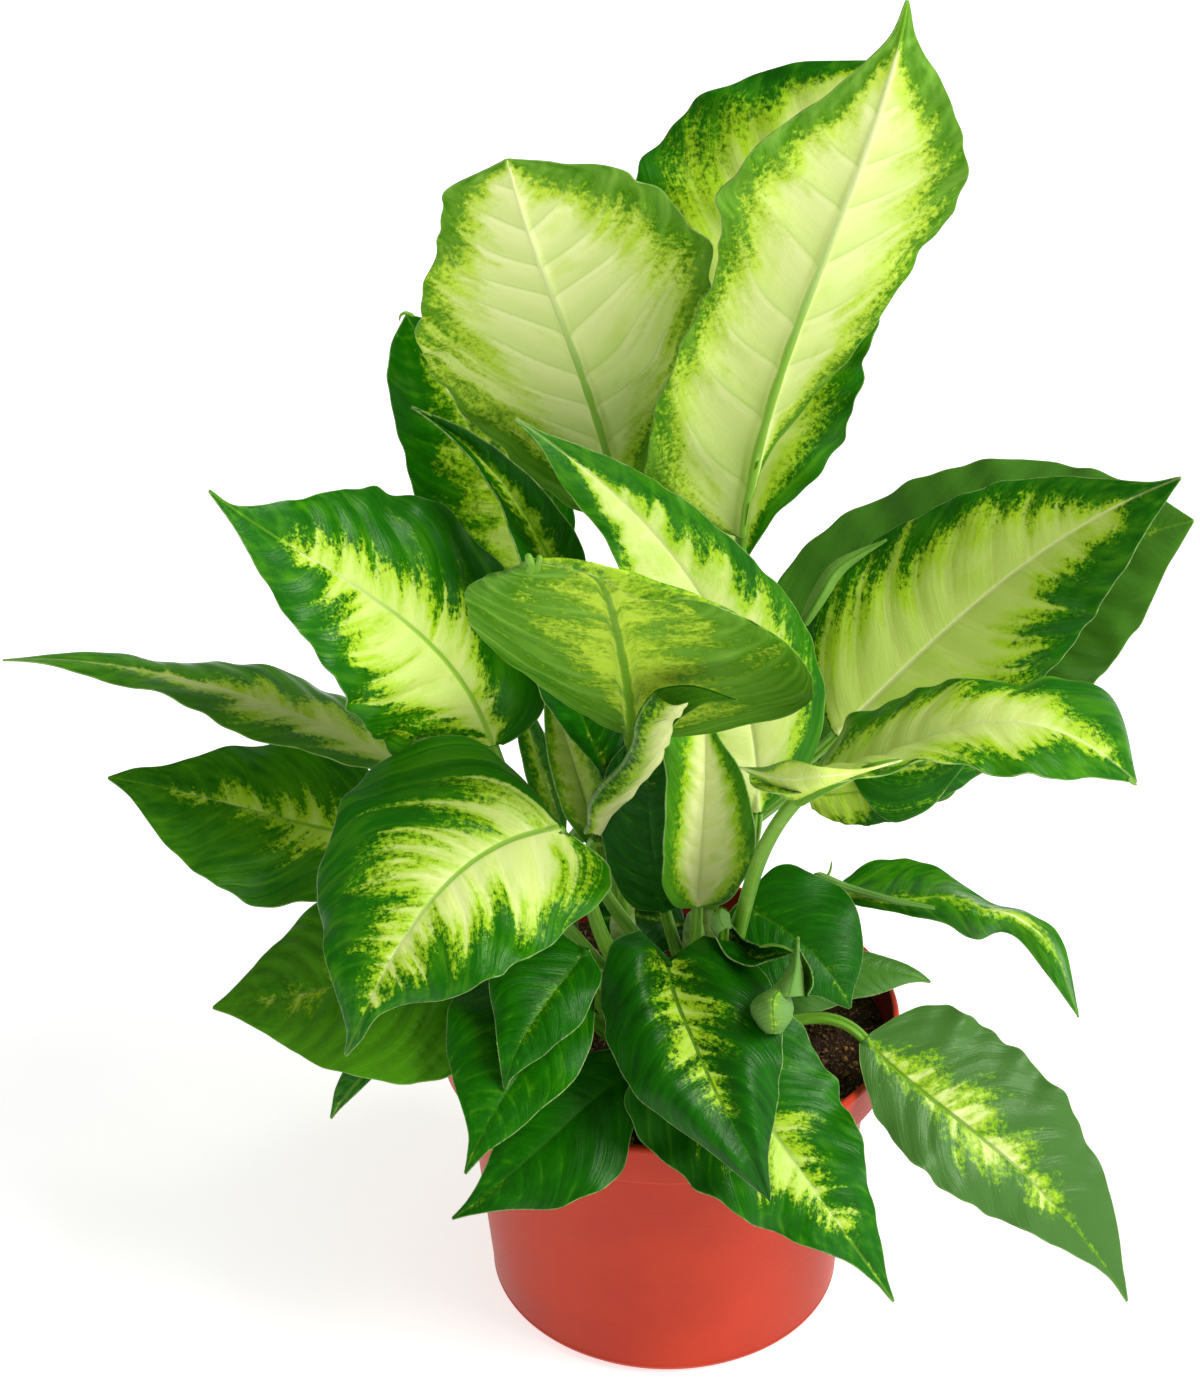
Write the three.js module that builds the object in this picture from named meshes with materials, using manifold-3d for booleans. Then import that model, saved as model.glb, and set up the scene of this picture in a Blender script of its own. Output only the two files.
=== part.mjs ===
// Potted dieffenbachia: a leafy plant of six shoots in a plain round nursery pot.
// Millimetres, +Z up. The origin is the middle of the pot's underside, and -Y is the side shown.

import * as THREE from 'three';
import { mergeVertices } from 'three/addons/utils/BufferGeometryUtils.js';
import Module from 'manifold-3d';

// ---------------------------------------------------------------- driving dimensions

const POT = {
  height: 120, rim: 85, collar: 16.5, collarFoot: 83.5, neck: 76, foot: 65.5,
  wall: 2, floor: 3, edge: 3, lip: 1, sides: 48,
};
const DRAIN = { count: 6, ring: 44, radius: 4.5, sides: 12 };
const SOIL = { top: 106, mound: 4, bump: 1.6, rings: 5, sides: 36 };
const SEAT = 0.3; // clearance between pieces that touch

const CANE = { steps: 7, scar: 0.5, tip: 0.55, columns: 5 };
const STALK = { radius: [2.8, 2], steps: 4, bend: 0.38 };
const BLADE = { thickness: 0.9, keel: 1.1, tip: 0.5, arc: 6 };
const BLADE_ROWS = [0.03, 0.1, 0.21, 0.34, 0.48, 0.62, 0.76, 0.88, 0.96, 1];
const BLADE_COLUMNS = [-1, -0.5, 0, 0.5, 1];

// Where along a blade its half widths are given, and the shape of a plain blade.
const STATIONS = [0, 0.1, 0.25, 0.45, 0.65, 0.82, 0.93, 1];
const PLAIN = [0.62, 0.93, 1, 0.86, 0.55, 0.23];

// The cane of each shoot: its foot in the soil, a point halfway and its top; foot and top radius.
const CANES = {
  left: { points: [[-17, 12, 64], [-17, 10, 125], [-16, 9, 180]], radius: [5.5, 3.8] },
  back: { points: [[-36, 38, 64], [-37, 38, 115], [-39, 40, 168]], radius: [5.5, 3.8] },
  right: { points: [[12, 22, 64], [14, 20, 140], [16, 17, 215]], radius: [5.5, 3.6] },
  middle: { points: [[12, -14, 64], [9, -16, 120], [8, -18, 172]], radius: [5.5, 3.8] },
  front: { points: [[8, -38, 70], [8, -40, 105], [7, -42, 138]], radius: [5, 4] },
  side: { points: [[-17, -22, 70], [-17, -24, 115], [-16, -26, 158]], radius: [5, 3.8] },
};

// Each leaf: the cane it grows from and at what height; four points along its midrib, from the
// blade's base to its tip; half widths left and right of the midrib, seen from above with the
// tip ahead; and the way its upper side faces. Folds and curls are in degrees, waves in mm.
const LEAVES = {
  top_right: {
    cane: 'right', from: 205, face: [-0.1, 0.9, 0.35], fold: [8, 20], curl: [10, 30], wave: 3,
    rib: [[23, 13, 305], [34, -14, 382], [51, -36, 446], [63, -44, 502]],
    left: [2.5, 15, 29, 39, 23, 6], right: [33, 38, 31, 38, 15, 3.5],
  },
  top_left: {
    cane: 'back', from: 160, face: [0.1, 0.9, 0.35], fold: [5, 10], curl: [10, 20], wave: 3,
    rib: [[-17, 24, 305], [-28, 8, 358], [-42, -12, 407], [-53, -22, 448]],
    left: [11, 25, 39, 53, 44, 28], right: [23, 35, 50, 42, 28, 21],
  },
  top_back: {
    cane: 'right', from: 192, face: [0, -0.75, 0.6], fold: [15, 10], curl: [15, 15], wave: 3,
    rib: [[24, 38, 283], [32, 50, 342], [44, 62, 397], [66, 75, 450]],
    left: [28, 46, 58, 60, 46, 20], right: [10, 28, 32, 33, 27, 19],
  },
  left_behind: {
    cane: 'left', from: 162, face: [-0.1, -0.75, 0.65], fold: [15, 10], curl: [15, 15], wave: 2,
    rib: [[-45, 46, 259], [-58, 50, 299], [-75, 48, 339], [-90, 42, 373]],
    left: [19, 28, 28, 23, 17, 10], right: [10, 21, 25, 20, 15, 7],
  },
  left_folded: {
    cane: 'left', from: 172, face: [0.25, -0.7, 0.65], fold: [30, 55], curl: [0, 0],
    rib: [[-34, 2, 281], [-45, -2, 310], [-61, 2, 334], [-87, 8, 354]],
    left: [8, 18, 16, 9, 5, 2], right: [8, 12, 11, 8, 5, 2],
  },
  centre_tall: {
    cane: 'right', from: 150, face: [0.1, -0.75, 0.65], fold: [12, 15], curl: [25, 25], wave: 2,
    rib: [[31, 6, 199], [17, -2, 273], [-15, -14, 327], [-52, -20, 362]],
    left: [27, 37, 36, 15, 9, 2.5], right: [23, 30, 21, 14, 6, 1.5],
  },
  centre_bowed: {
    cane: 'right', from: 162, face: [0.1, 0.8, 0.6], fold: [5, 5], curl: [15, 15], wave: 2,
    rib: [[-14, -22, 243], [-16, -64, 300], [-24, -96, 340], [-45, -112, 359]],
    left: [25, 60, 52, 24, 16, 20], right: [21, 39, 48, 44, 43, 49],
  },
  left_upper: {
    cane: 'back', from: 152, face: [-0.15, -0.6, 0.8], fold: [10, 12], curl: [25, 30], wave: 2,
    rib: [[-62, -6, 234], [-83, -18, 281], [-114, -30, 314], [-148, -40, 346]],
    left: [28, 35, 35, 25, 12, 4], right: [22, 35, 42, 32, 13, 1.5], lobe: [0.25, 0.9],
  },
  left_narrow: {
    cane: 'back', from: 135, face: [-0.2, 0.12, 0.97], fold: [12, 15], curl: [30, 30], wave: 2,
    rib: [[-94, 14, 214], [-138, 22, 232], [-187, 32, 242], [-239, 40, 242]],
    left: [16, 22, 22, 15, 7, 3], right: [18, 30, 24, 14, 7, 3],
  },
  left_middle: {
    cane: 'side', from: 140, face: [-0.1, -0.35, 0.93], fold: [10, 12], curl: [25, 25], wave: 1.5,
    rib: [[-96, -4, 194], [-128, 2, 196], [-162, 6, 204], [-199, 8, 212]],
    left: [19, 30, 37, 31, 18, 6], right: [16, 32, 33, 27, 11, 6],
  },
  left_broad: {
    cane: 'side', from: 152, face: [-0.2, -0.75, 0.6], fold: [10, 15], curl: [30, 40], wave: 3,
    rib: [[-39, -48, 226], [-70, -76, 227], [-91, -100, 210], [-107, -108, 177]],
    left: [21, 36, 36, 27, 6, 3], right: [39, 51, 44, 33, 15, 3.5], lobe: [2, 0.1],
    arrive: [-0.4, -0.3, 0.85],
  },
  left_low: {
    cane: 'side', from: 127, face: [-0.15, -0.5, 0.85], fold: [8, 8], curl: [25, 25], wave: 1.5,
    rib: [[-59, -40, 174], [-90, -48, 169], [-125, -52, 162], [-158, -54, 157]],
    left: [14, 39, 39, 28, 12, 4], right: [17, 36, 41, 33, 16, 6],
  },
  left_lowest: {
    cane: 'side', from: 118, face: [-0.1, -0.6, 0.8],
    rib: [[-82, -20, 136], [-96, -30, 126], [-111, -34, 111], [-122, -34, 94]],
    left: [5, 7, 8, 8, 6, 3], right: [4, 6, 7, 6, 4, 2],
  },
  front_left_small: {
    cane: 'side', from: 138, face: [-0.1, -0.75, 0.65], fold: [10, 15], curl: [30, 30], wave: 2,
    rib: [[-30, -64, 187], [-40, -80, 182], [-50, -93, 173], [-56, -101, 158]],
    left: [20, 22, 19, 12, 5, 1.5], right: [24, 28, 22, 12, 5, 2], lobe: [1.1, 0.4],
  },
  front_left_low: {
    cane: 'side', from: 117, face: [-0.2, -0.7, 0.7], fold: [8, 12], curl: [25, 25], wave: 2,
    rib: [[-28, -56, 168], [-43, -82, 164], [-58, -104, 154], [-69, -116, 135]],
    left: [6, 13, 16, 12, 6, 2.5], right: [19, 34, 33, 20, 5, 1.5],
  },
  front_left_rim: {
    cane: 'front', from: 112, face: [-0.1, -0.65, 0.75], fold: [10, 12], curl: [25, 25], wave: 2,
    rib: [[-9, -62, 141], [-28, -78, 135], [-50, -92, 121], [-75, -98, 101]],
    left: [20, 15, 25, 21, 9, 3], right: [9, 16, 18, 15, 6, 2],
  },
  front_middle: {
    cane: 'front', from: 136, face: [0.05, -0.75, 0.65], fold: [12, 15], curl: [30, 30], wave: 2,
    rib: [[-2, -58, 178], [4, -82, 166], [15, -104, 151], [31, -116, 123]],
    left: [23, 29, 28, 23, 13, 4], right: [20, 24, 25, 16, 7, 2.5], lobe: [0.6, 0.6],
  },
  front_right: {
    cane: 'front', from: 122, face: [0.1, -0.65, 0.75], fold: [10, 12], curl: [25, 25], wave: 3,
    rib: [[11, -60, 152], [30, -84, 134], [51, -102, 110], [75, -110, 75]],
    left: [26, 29, 27, 20, 11, 3.5], right: [35, 38, 31, 19, 6, 1.5],
  },
  right_drooping: {
    cane: 'front', from: 113, face: [0.1, -0.6, 0.8], fold: [8, 12], curl: [15, 20], wave: 2,
    rib: [[68, -42, 135], [94, -58, 118], [127, -70, 93], [163, -76, 45]],
    left: [24, 33, 34, 29, 19, 7], right: [10, 19, 24, 18, 9, 1.5],
  },
  right_narrow: {
    cane: 'right', from: 128, face: [0, -0.3, 0.95], faceTip: [0.5, -0.6, 0.6],
    fold: [20, 15], curl: [15, 15], wave: 2,
    rib: [[61, 8, 162], [89, 4, 166], [124, -4, 158], [149, -10, 121]],
    left: [8, 12, 9, 5, 6, 2], right: [6, 8, 11, 7, 6, 2.5],
  },
  right_small: {
    cane: 'middle', from: 135, face: [0.1, -0.65, 0.75], fold: [10, 10], curl: [25, 25], wave: 1,
    rib: [[26, -16, 174], [40, -24, 169], [53, -32, 160], [63, -36, 144]],
    left: [19, 20, 21, 16, 11, 3.5], right: [9, 17, 20, 18, 8, 4],
  },
  right_pointed: {
    cane: 'middle', from: 118, face: [0.05, -0.5, 0.85], fold: [8, 8], curl: [20, 20],
    rib: [[44, -6, 142], [60, -6, 140], [78, -6, 139], [95, -6, 134]],
    left: [20, 13, 9, 6, 4, 2], right: [19, 17, 12, 9, 4, 1.5],
  },
  right_arched: {
    cane: 'middle', from: 140, face: [0.05, -0.3, 0.95], curl: [25, 25], wave: 2,
    foldLeft: [15, 10], foldRight: [80, -10], leave: [0.5, -0.7, 0.6], stalk: [3.4, 2.6],
    rib: [[41, -55, 243], [69, -70, 268], [102, -78, 284], [145, -80, 263]],
    left: [24, 26, 23, 17, 25, 28], right: [30, 51, 25, 25, 19, 8],
  },
  right_upper: {
    cane: 'right', from: 178, face: [0.05, -0.75, 0.65], fold: [12, 15], curl: [30, 20], wave: 2,
    rib: [[59, 18, 224], [93, 16, 265], [127, 8, 303], [166, -4, 334]],
    left: [29, 42, 37, 28, 13, 3], right: [38, 39, 36, 29, 19, 8],
  },
  right_behind: {
    cane: 'right', from: 165, face: [0.05, -0.7, 0.7], fold: [10, 12], curl: [30, 25], wave: 2,
    rib: [[57, 52, 193], [93, 50, 241], [134, 40, 278], [179, 26, 304]],
    left: [40, 59, 56, 46, 28, 12], right: [38, 47, 51, 44, 32, 13],
  },
  centre_cream: {
    cane: 'middle', from: 152, face: [0.1, -0.85, 0.5], fold: [30, 30], curl: [-20, -20], wave: 1,
    rib: [[9, -26, 181], [10, -25, 206], [11, -20, 232], [10, -11, 252]],
    left: [12, 19, 19, 20, 21, 11], right: [11, 19, 21, 16, 6, 2.5],
  },
  centre_rolled: {
    cane: 'middle', from: 132, face: [0.3, 0.85, 0.3], fold: [20, 10], curl: [40, 40],
    rib: [[-26, -14, 201], [-16, -38, 237], [-7, -62, 273], [17, -84, 295]],
    left: [3, 5, 7, 7, 5, 3], right: [4, 6, 7, 7, 5, 2.5],
  },
  centre_dark: {
    cane: 'middle', from: 142, face: [-0.2, -0.8, 0.5], fold: [10, 10], curl: [10, 10],
    rib: [[-2, -14, 171], [-6, -16, 190], [-7, -16, 207], [-5, -14, 229]],
    left: 13, right: 14,
  },
  centre_shaded: {
    cane: 'left', from: 152, face: [0.2, -0.75, 0.6],
    rib: [[-21, -8, 213], [-26, -16, 237], [-33, -24, 261], [-38, -32, 288]],
    left: [1.5, 2.5, 6, 9, 11, 10], right: [7, 16, 20, 18, 13, 6],
  },
  centre_young: {
    cane: 'back', from: 137, face: [0, -0.85, 0.5], fold: [30, 30], curl: [0, 0],
    rib: [[-25, 2, 188], [-31, -1, 206], [-36, -2, 223], [-42, 0, 240]],
    left: 10, right: 10,
  },
  centre_slim: {
    cane: 'back', from: 127, face: [0, -0.85, 0.5], fold: [20, 20], curl: [0, 0],
    rib: [[-39, 12, 188], [-43, 14, 199], [-47, 16, 212], [-52, 18, 225]],
    left: 8, right: 8,
  },
  front_curled: {
    cane: 'side', from: 132, face: [0.1, -0.6, 0.8], faceTip: [-0.2, -0.9, 0.2],
    fold: [35, 15], curl: [0, 0],
    rib: [[17, -50, 188], [28, -62, 184], [38, -74, 187], [33, -84, 170]],
    left: [3, 5, 7, 9, 7, 6], right: [3, 5, 5, 6, 7, 6],
  },
  back_left: {
    cane: 'back', from: 155, face: [-0.2, -0.35, 0.9], wave: 2,
    rib: [[-58, 72, 212], [-80, 104, 232], [-100, 140, 238], [-118, 178, 224]],
    left: 32, right: 30,
  },
  back_top: {
    cane: 'right', from: 207, face: [0, -0.6, 0.8], wave: 2,
    rib: [[8, 68, 258], [10, 104, 298], [14, 146, 322], [18, 190, 326]],
    left: 34, right: 36,
  },
  back_right: {
    cane: 'right', from: 155, face: [0.1, -0.35, 0.9], wave: 2,
    rib: [[50, 72, 196], [84, 104, 218], [118, 138, 224], [150, 172, 208]],
    left: 30, right: 32,
  },
  back_low_left: {
    cane: 'back', from: 125, face: [-0.2, 0.1, 0.95], wave: 2,
    rib: [[-62, 62, 150], [-95, 96, 150], [-125, 125, 135], [-150, 150, 108]],
    left: 26, right: 27,
  },
  back_low: {
    cane: 'right', from: 135, face: [0, 0.2, 0.95], wave: 1,
    rib: [[14, 66, 142], [13, 96, 144], [11, 122, 136], [9, 146, 116]],
    left: 15, right: 15,
  },
  inner_left: {
    cane: 'right', from: 117, face: [0, -0.7, 0.7],
    rib: [[6, 34, 132], [-6, 30, 138], [-18, 28, 140], [-28, 28, 136]],
    left: 14, right: 14,
  },
  inner_right: {
    cane: 'right', from: 122, face: [0.1, -0.7, 0.7],
    rib: [[24, 34, 128], [34, 36, 132], [45, 38, 131], [56, 40, 125]],
    left: 10, right: 11,
  },
};

// ---------------------------------------------------------------- solids

const wasm = await Module();
wasm.setup();

const { degToRad, lerp } = THREE.MathUtils;
const vector = (point) => new THREE.Vector3(...point);

function toManifold(geometry) {
  const bare = new THREE.BufferGeometry();
  bare.setAttribute('position', geometry.attributes.position);
  bare.setIndex(geometry.index);
  const merged = mergeVertices(bare, 1e-4);
  return new wasm.Manifold(new wasm.Mesh({
    numProp: 3,
    vertProperties: new Float32Array(merged.attributes.position.array),
    triVerts: new Uint32Array(merged.index.array),
  }));
}

function toGeometry(solid) {
  const mesh = solid.getMesh();
  const geometry = new THREE.BufferGeometry();
  geometry.setAttribute('position', new THREE.BufferAttribute(mesh.vertProperties, 3));
  geometry.setIndex(new THREE.BufferAttribute(mesh.triVerts, 1));
  geometry.computeVertexNormals();
  return geometry;
}

// A closed skin over two grids of points alike in size. Both are split into triangles alike.
function skin(top, bottom) {
  const rows = top.length;
  const columns = top[0].length;
  const at = (side, i, j) => (side * rows + i) * columns + j;
  const index = [];
  const quad = (a, b, c, d) => index.push(a, b, c, a, c, d);
  for (let i = 0; i < rows - 1; i++) {
    for (let j = 0; j < columns - 1; j++) {
      quad(at(0, i, j), at(0, i, j + 1), at(0, i + 1, j + 1), at(0, i + 1, j));
      index.push(at(1, i, j), at(1, i + 1, j + 1), at(1, i, j + 1));
      index.push(at(1, i, j), at(1, i + 1, j), at(1, i + 1, j + 1));
    }
    const last = columns - 1;
    quad(at(0, i, 0), at(0, i + 1, 0), at(1, i + 1, 0), at(1, i, 0));
    quad(at(0, i, last), at(1, i, last), at(1, i + 1, last), at(0, i + 1, last));
  }
  const end = rows - 1;
  for (let j = 0; j < columns - 1; j++) {
    quad(at(0, 0, j), at(1, 0, j), at(1, 0, j + 1), at(0, 0, j + 1));
    quad(at(0, end, j), at(0, end, j + 1), at(1, end, j + 1), at(1, end, j));
  }
  const positions = [...top.flat(), ...bottom.flat()].flatMap((p) => [p.x, p.y, p.z]);
  const geometry = new THREE.BufferGeometry();
  geometry.setAttribute('position', new THREE.Float32BufferAttribute(positions, 3));
  geometry.setIndex(index);
  return toManifold(geometry);
}

// ---------------------------------------------------------------- pot and soil

function lathe(points, sides) {
  const profile = points.map(([x, z]) => new THREE.Vector2(x, z));
  return new THREE.LatheGeometry(profile, sides).rotateX(Math.PI / 2);
}

function potInnerRadius(z) {
  const t = (z - POT.edge) / (POT.height - POT.collar - POT.edge);
  return lerp(POT.foot, POT.neck, t) - POT.wall;
}

function drainHole(i) {
  const angle = (i + 0.5) * 2 * Math.PI / DRAIN.count;
  const depth = POT.floor * 4;
  const hole = new THREE.CylinderGeometry(DRAIN.radius, DRAIN.radius, depth, DRAIN.sides);
  hole.rotateX(Math.PI / 2);
  hole.translate(DRAIN.ring * Math.cos(angle), DRAIN.ring * Math.sin(angle), 0);
  return toManifold(hole);
}

function potSolid() {
  const shoulder = POT.height - POT.collar;
  const profile = [
    [0, 0], [POT.foot - POT.edge, 0], [POT.foot, POT.edge], [POT.neck, shoulder],
    [POT.collarFoot, shoulder], [POT.rim, POT.height - POT.lip],
    [POT.rim - POT.lip, POT.height], [POT.rim - POT.wall - POT.lip, POT.height],
    [POT.collarFoot - POT.wall, shoulder + POT.wall],
    [POT.neck - POT.wall, shoulder - POT.wall],
    [potInnerRadius(POT.floor), POT.floor], [0, POT.floor],
  ];
  let solid = toManifold(lathe(profile, POT.sides));
  for (let i = 0; i < DRAIN.count; i++) solid = solid.subtract(drainHole(i));
  return solid;
}

function soilBump(x, y) {
  const fine = Math.sin(0.31 * x + 1.3) * Math.cos(0.27 * y - 0.4);
  const coarse = Math.sin(0.12 * x - 0.19 * y);
  return SOIL.bump * (0.6 * fine + 0.4 * coarse);
}

// The soil fills the pot up to its collar, and is mounded towards the middle.
function soilSolid() {
  const shoulder = POT.height - POT.collar;
  const edge = POT.collarFoot - POT.wall - SEAT;
  const profile = [
    [0, POT.floor + SEAT], [potInnerRadius(POT.floor) - SEAT, POT.floor + SEAT],
    [POT.neck - POT.wall - SEAT, shoulder - POT.wall + SEAT],
    [edge, shoulder + POT.wall + SEAT], [edge, SOIL.top],
  ];
  for (let i = 1; i <= SOIL.rings; i++) profile.push([edge * (1 - i / SOIL.rings), SOIL.top]);
  const geometry = lathe(profile, SOIL.sides);
  const place = geometry.attributes.position;
  for (let i = 0; i < place.count; i++) {
    const [x, y, z] = [place.getX(i), place.getY(i), place.getZ(i)];
    const inward = 1 - Math.hypot(x, y) / edge;
    if (z > SOIL.top - 1e-3 && inward > 0.05) {
      place.setZ(i, SOIL.top + SOIL.mound * inward + soilBump(x, y));
    }
  }
  let solid = toManifold(geometry);
  for (const cane of Object.values(CANES)) solid = solid.subtract(caneSolid(cane, SEAT));
  return solid;
}

// ---------------------------------------------------------------- canes

// The upper and lower halves of a ring round `centre`, `columns` points in each.
function ring(centre, side, normal, radius, columns) {
  const angles = Array.from({ length: columns }, (_, j) => Math.PI * (1 - (j + 0.5) / columns));
  const point = (angle) => centre.clone()
    .addScaledVector(side, radius * Math.cos(angle))
    .addScaledVector(normal, radius * Math.sin(angle));
  return [angles.map(point), angles.map((angle) => point(-angle))];
}

function upright(normal, along) {
  return normal.clone().addScaledVector(along, -normal.dot(along)).normalize();
}

function caneCurve(cane) {
  return new THREE.CatmullRomCurve3(cane.points.map(vector));
}

// A cane swells a little at its leaf scars. `gap` makes it thicker and longer, to cut its hole.
function caneSolid(cane, gap = 0) {
  const curve = caneCurve(cane);
  const rings = [];
  for (let i = 0; i <= CANE.steps; i++) {
    const t = i / CANE.steps;
    const along = curve.getTangent(t);
    const normal = upright(new THREE.Vector3(0, 1, 0), along);
    const side = along.clone().cross(normal);
    const centre = curve.getPoint(t);
    if (i === 0) centre.addScaledVector(along, -gap);
    if (i === CANE.steps) centre.addScaledVector(along, gap);
    const scar = i % 2 ? CANE.scar : 0;
    const close = i === CANE.steps ? CANE.tip : 1;
    const radius = lerp(...cane.radius, t) * close + scar + gap;
    rings.push(ring(centre, side, normal, radius, CANE.columns));
  }
  return skin(rings.map(([upper]) => upper), rings.map(([, lower]) => lower));
}

// ---------------------------------------------------------------- leaves

function halfWidths(width) {
  const given = Array.isArray(width) ? width : PLAIN.map((part) => part * width);
  return [STALK.radius[1], ...given, BLADE.tip];
}

// A smooth curve through values at unevenly spaced stations.
function through(xs, ys, x) {
  const last = xs.length - 1;
  const slope = (i) => {
    const [a, b] = [Math.max(i - 1, 0), Math.min(i + 1, last)];
    return (ys[b] - ys[a]) / (xs[b] - xs[a]);
  };
  let i = 0;
  while (i < last - 1 && x > xs[i + 1]) i++;
  const h = xs[i + 1] - xs[i];
  const u = (x - xs[i]) / h;
  return (2 * u ** 3 - 3 * u ** 2 + 1) * ys[i] + (u ** 3 - 2 * u ** 2 + u) * h * slope(i)
    + (3 * u ** 2 - 2 * u ** 3) * ys[i + 1] + (u ** 3 - u ** 2) * h * slope(i + 1);
}

// The cubic that passes through four points at thirds of its length.
function ribCurve(points) {
  const [p0, p1, p2, p3] = points.map(vector);
  const mix = (a, b, c, d) => new THREE.Vector3()
    .addScaledVector(p0, a / 6).addScaledVector(p1, b / 6)
    .addScaledVector(p2, c / 6).addScaledVector(p3, d / 6);
  return new THREE.CubicBezierCurve3(p0, mix(-5, 18, -9, 2), mix(2, -9, 18, -5), p3);
}

// The directions along, up from and across the blade at a part of its length.
function bladeFrame(leaf, rib, t) {
  const along = rib.getTangent(t);
  const face = vector(leaf.face).normalize();
  const faceTip = vector(leaf.faceTip ?? leaf.face).normalize();
  const normal = upright(face.lerp(faceTip, t), along);
  return { along, normal, across: along.clone().cross(normal) };
}

// How far out and up the blade runs at a part of its half width, for a width of 1.
function bladeArc(fold, curl, out) {
  let [aside, rise] = [0, 0];
  for (let k = 0; k < BLADE.arc; k++) {
    const slope = degToRad(fold - curl * out * (k + 0.5) / BLADE.arc);
    aside += Math.cos(slope) * out / BLADE.arc;
    rise += Math.sin(slope) * out / BLADE.arc;
  }
  return [aside, rise];
}

// A point of the blade's middle surface: t from base to tip, s from left margin to right.
function bladePoint(leaf, rib, t, s) {
  const pick = (left, right) => (s < 0 ? left : right);
  const { along, normal, across } = bladeFrame(leaf, rib, t);
  const width = through(STATIONS, halfWidths(pick(leaf.left, leaf.right)), t);
  const folds = pick(leaf.foldLeft, leaf.foldRight) ?? leaf.fold ?? [10, 10];
  const curl = pick(...(leaf.curl ?? [20, 20]));
  const out = Math.abs(s);
  const [aside, rise] = bladeArc(lerp(...folds, t), curl, out);
  const lobe = pick(...(leaf.lobe ?? [0.25, 0.25])) * width * out ** 2 * Math.max(1 - 2 * t, 0) ** 2;
  const ripple = (leaf.wave ?? 0) * out ** 2 * Math.sin(Math.PI * t)
    * Math.sin(2 * Math.PI * (2.5 * t + 0.17 * Math.sign(s)));
  return rib.getPoint(t)
    .addScaledVector(across, Math.sign(s) * aside * width)
    .addScaledVector(normal, rise * width + ripple)
    .addScaledVector(along, -lobe);
}

function bladeNormal(leaf, rib, t, s) {
  const [t0, t1] = [Math.max(t - 0.004, 0), Math.min(t + 0.004, 1)];
  const [s0, s1] = [Math.max(s - 0.05, -1), Math.min(s + 0.05, 1)];
  const lengthwise = bladePoint(leaf, rib, t1, s).sub(bladePoint(leaf, rib, t0, s));
  const crosswise = bladePoint(leaf, rib, t, s1).sub(bladePoint(leaf, rib, t, s0));
  return crosswise.cross(lengthwise).normalize();
}

// Upper and lower points across the blade. The midrib stands out below, less towards the tip.
function bladeRow(leaf, rib, t) {
  const [upper, lower] = [[], []];
  for (const s of BLADE_COLUMNS) {
    const point = bladePoint(leaf, rib, t, s);
    const normal = bladeNormal(leaf, rib, t, s);
    const keel = s === 0 ? BLADE.keel * (1 - t) : 0;
    upper.push(point.clone().addScaledVector(normal, BLADE.thickness / 2));
    lower.push(point.clone().addScaledVector(normal, -BLADE.thickness / 2 - keel));
  }
  return [upper, lower];
}

function pointAtHeight(curve, z) {
  let t = 0;
  while (t < 1 && curve.getPoint(t).z < z) t += 0.01;
  return curve.getPoint(t);
}

// The stalk leaves its cane outwards and upwards, and arrives along the midrib.
function stalkCurve(leaf, rib) {
  const foot = pointAtHeight(caneCurve(CANES[leaf.cane]), leaf.from);
  const base = rib.getPoint(0);
  const reach = STALK.bend * base.distanceTo(foot);
  const outward = new THREE.Vector3(base.x - foot.x, base.y - foot.y, 0).setLength(0.6);
  const leave = leaf.leave ? vector(leaf.leave) : outward.setZ(0.8);
  const arrive = leaf.arrive ? vector(leaf.arrive) : rib.getTangent(0);
  const first = foot.clone().addScaledVector(leave.normalize(), reach);
  const second = base.clone().addScaledVector(arrive.normalize(), -reach);
  return new THREE.CubicBezierCurve3(foot, first, second, base);
}

// The stalk's rings from cane to blade, turned so that the last one lies as the blade does.
function stalkRings(leaf, rib) {
  const curve = stalkCurve(leaf, rib);
  const rings = [];
  let { normal } = bladeFrame(leaf, rib, 0);
  for (let i = STALK.steps; i >= 0; i--) {
    const t = i / STALK.steps;
    const along = curve.getTangent(t);
    normal = upright(normal, along);
    const side = along.clone().cross(normal);
    const radius = lerp(...(leaf.stalk ?? STALK.radius), t);
    rings.unshift(ring(curve.getPoint(t), side, normal, radius, BLADE_COLUMNS.length));
  }
  return rings;
}

// Stalk and blade in one piece, hollowed where the stalk clasps its cane.
function leafSolid(leaf) {
  const rib = ribCurve(leaf.rib);
  const rings = stalkRings(leaf, rib);
  for (const t of BLADE_ROWS) rings.push(bladeRow(leaf, rib, t));
  const solid = skin(rings.map(([upper]) => upper), rings.map(([, lower]) => lower));
  return solid.subtract(caneSolid(CANES[leaf.cane], SEAT));
}

// ---------------------------------------------------------------- the plant in its pot

const MATERIALS = {
  pot: { color: 0xcb4e35, roughness: 0.45, metalness: 0 },
  soil: { color: 0x3a2a1e, roughness: 0.95, metalness: 0 },
  cane: { color: 0x8fb35a, roughness: 0.5, metalness: 0 },
  leaf: { color: 0x3f8f2a, roughness: 0.35, metalness: 0 },
};

const plant = new THREE.Group();

function add(name, kind, solid) {
  const material = new THREE.MeshStandardMaterial(MATERIALS[kind]);
  const mesh = new THREE.Mesh(toGeometry(solid), material);
  mesh.name = name;
  plant.add(mesh);
}

add('pot', 'pot', potSolid());
add('soil', 'soil', soilSolid());
for (const [name, cane] of Object.entries(CANES)) add(`cane_${name}`, 'cane', caneSolid(cane));
for (const [name, leaf] of Object.entries(LEAVES)) add(`leaf_${name}`, 'leaf', leafSolid(leaf));

export default plant;
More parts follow.
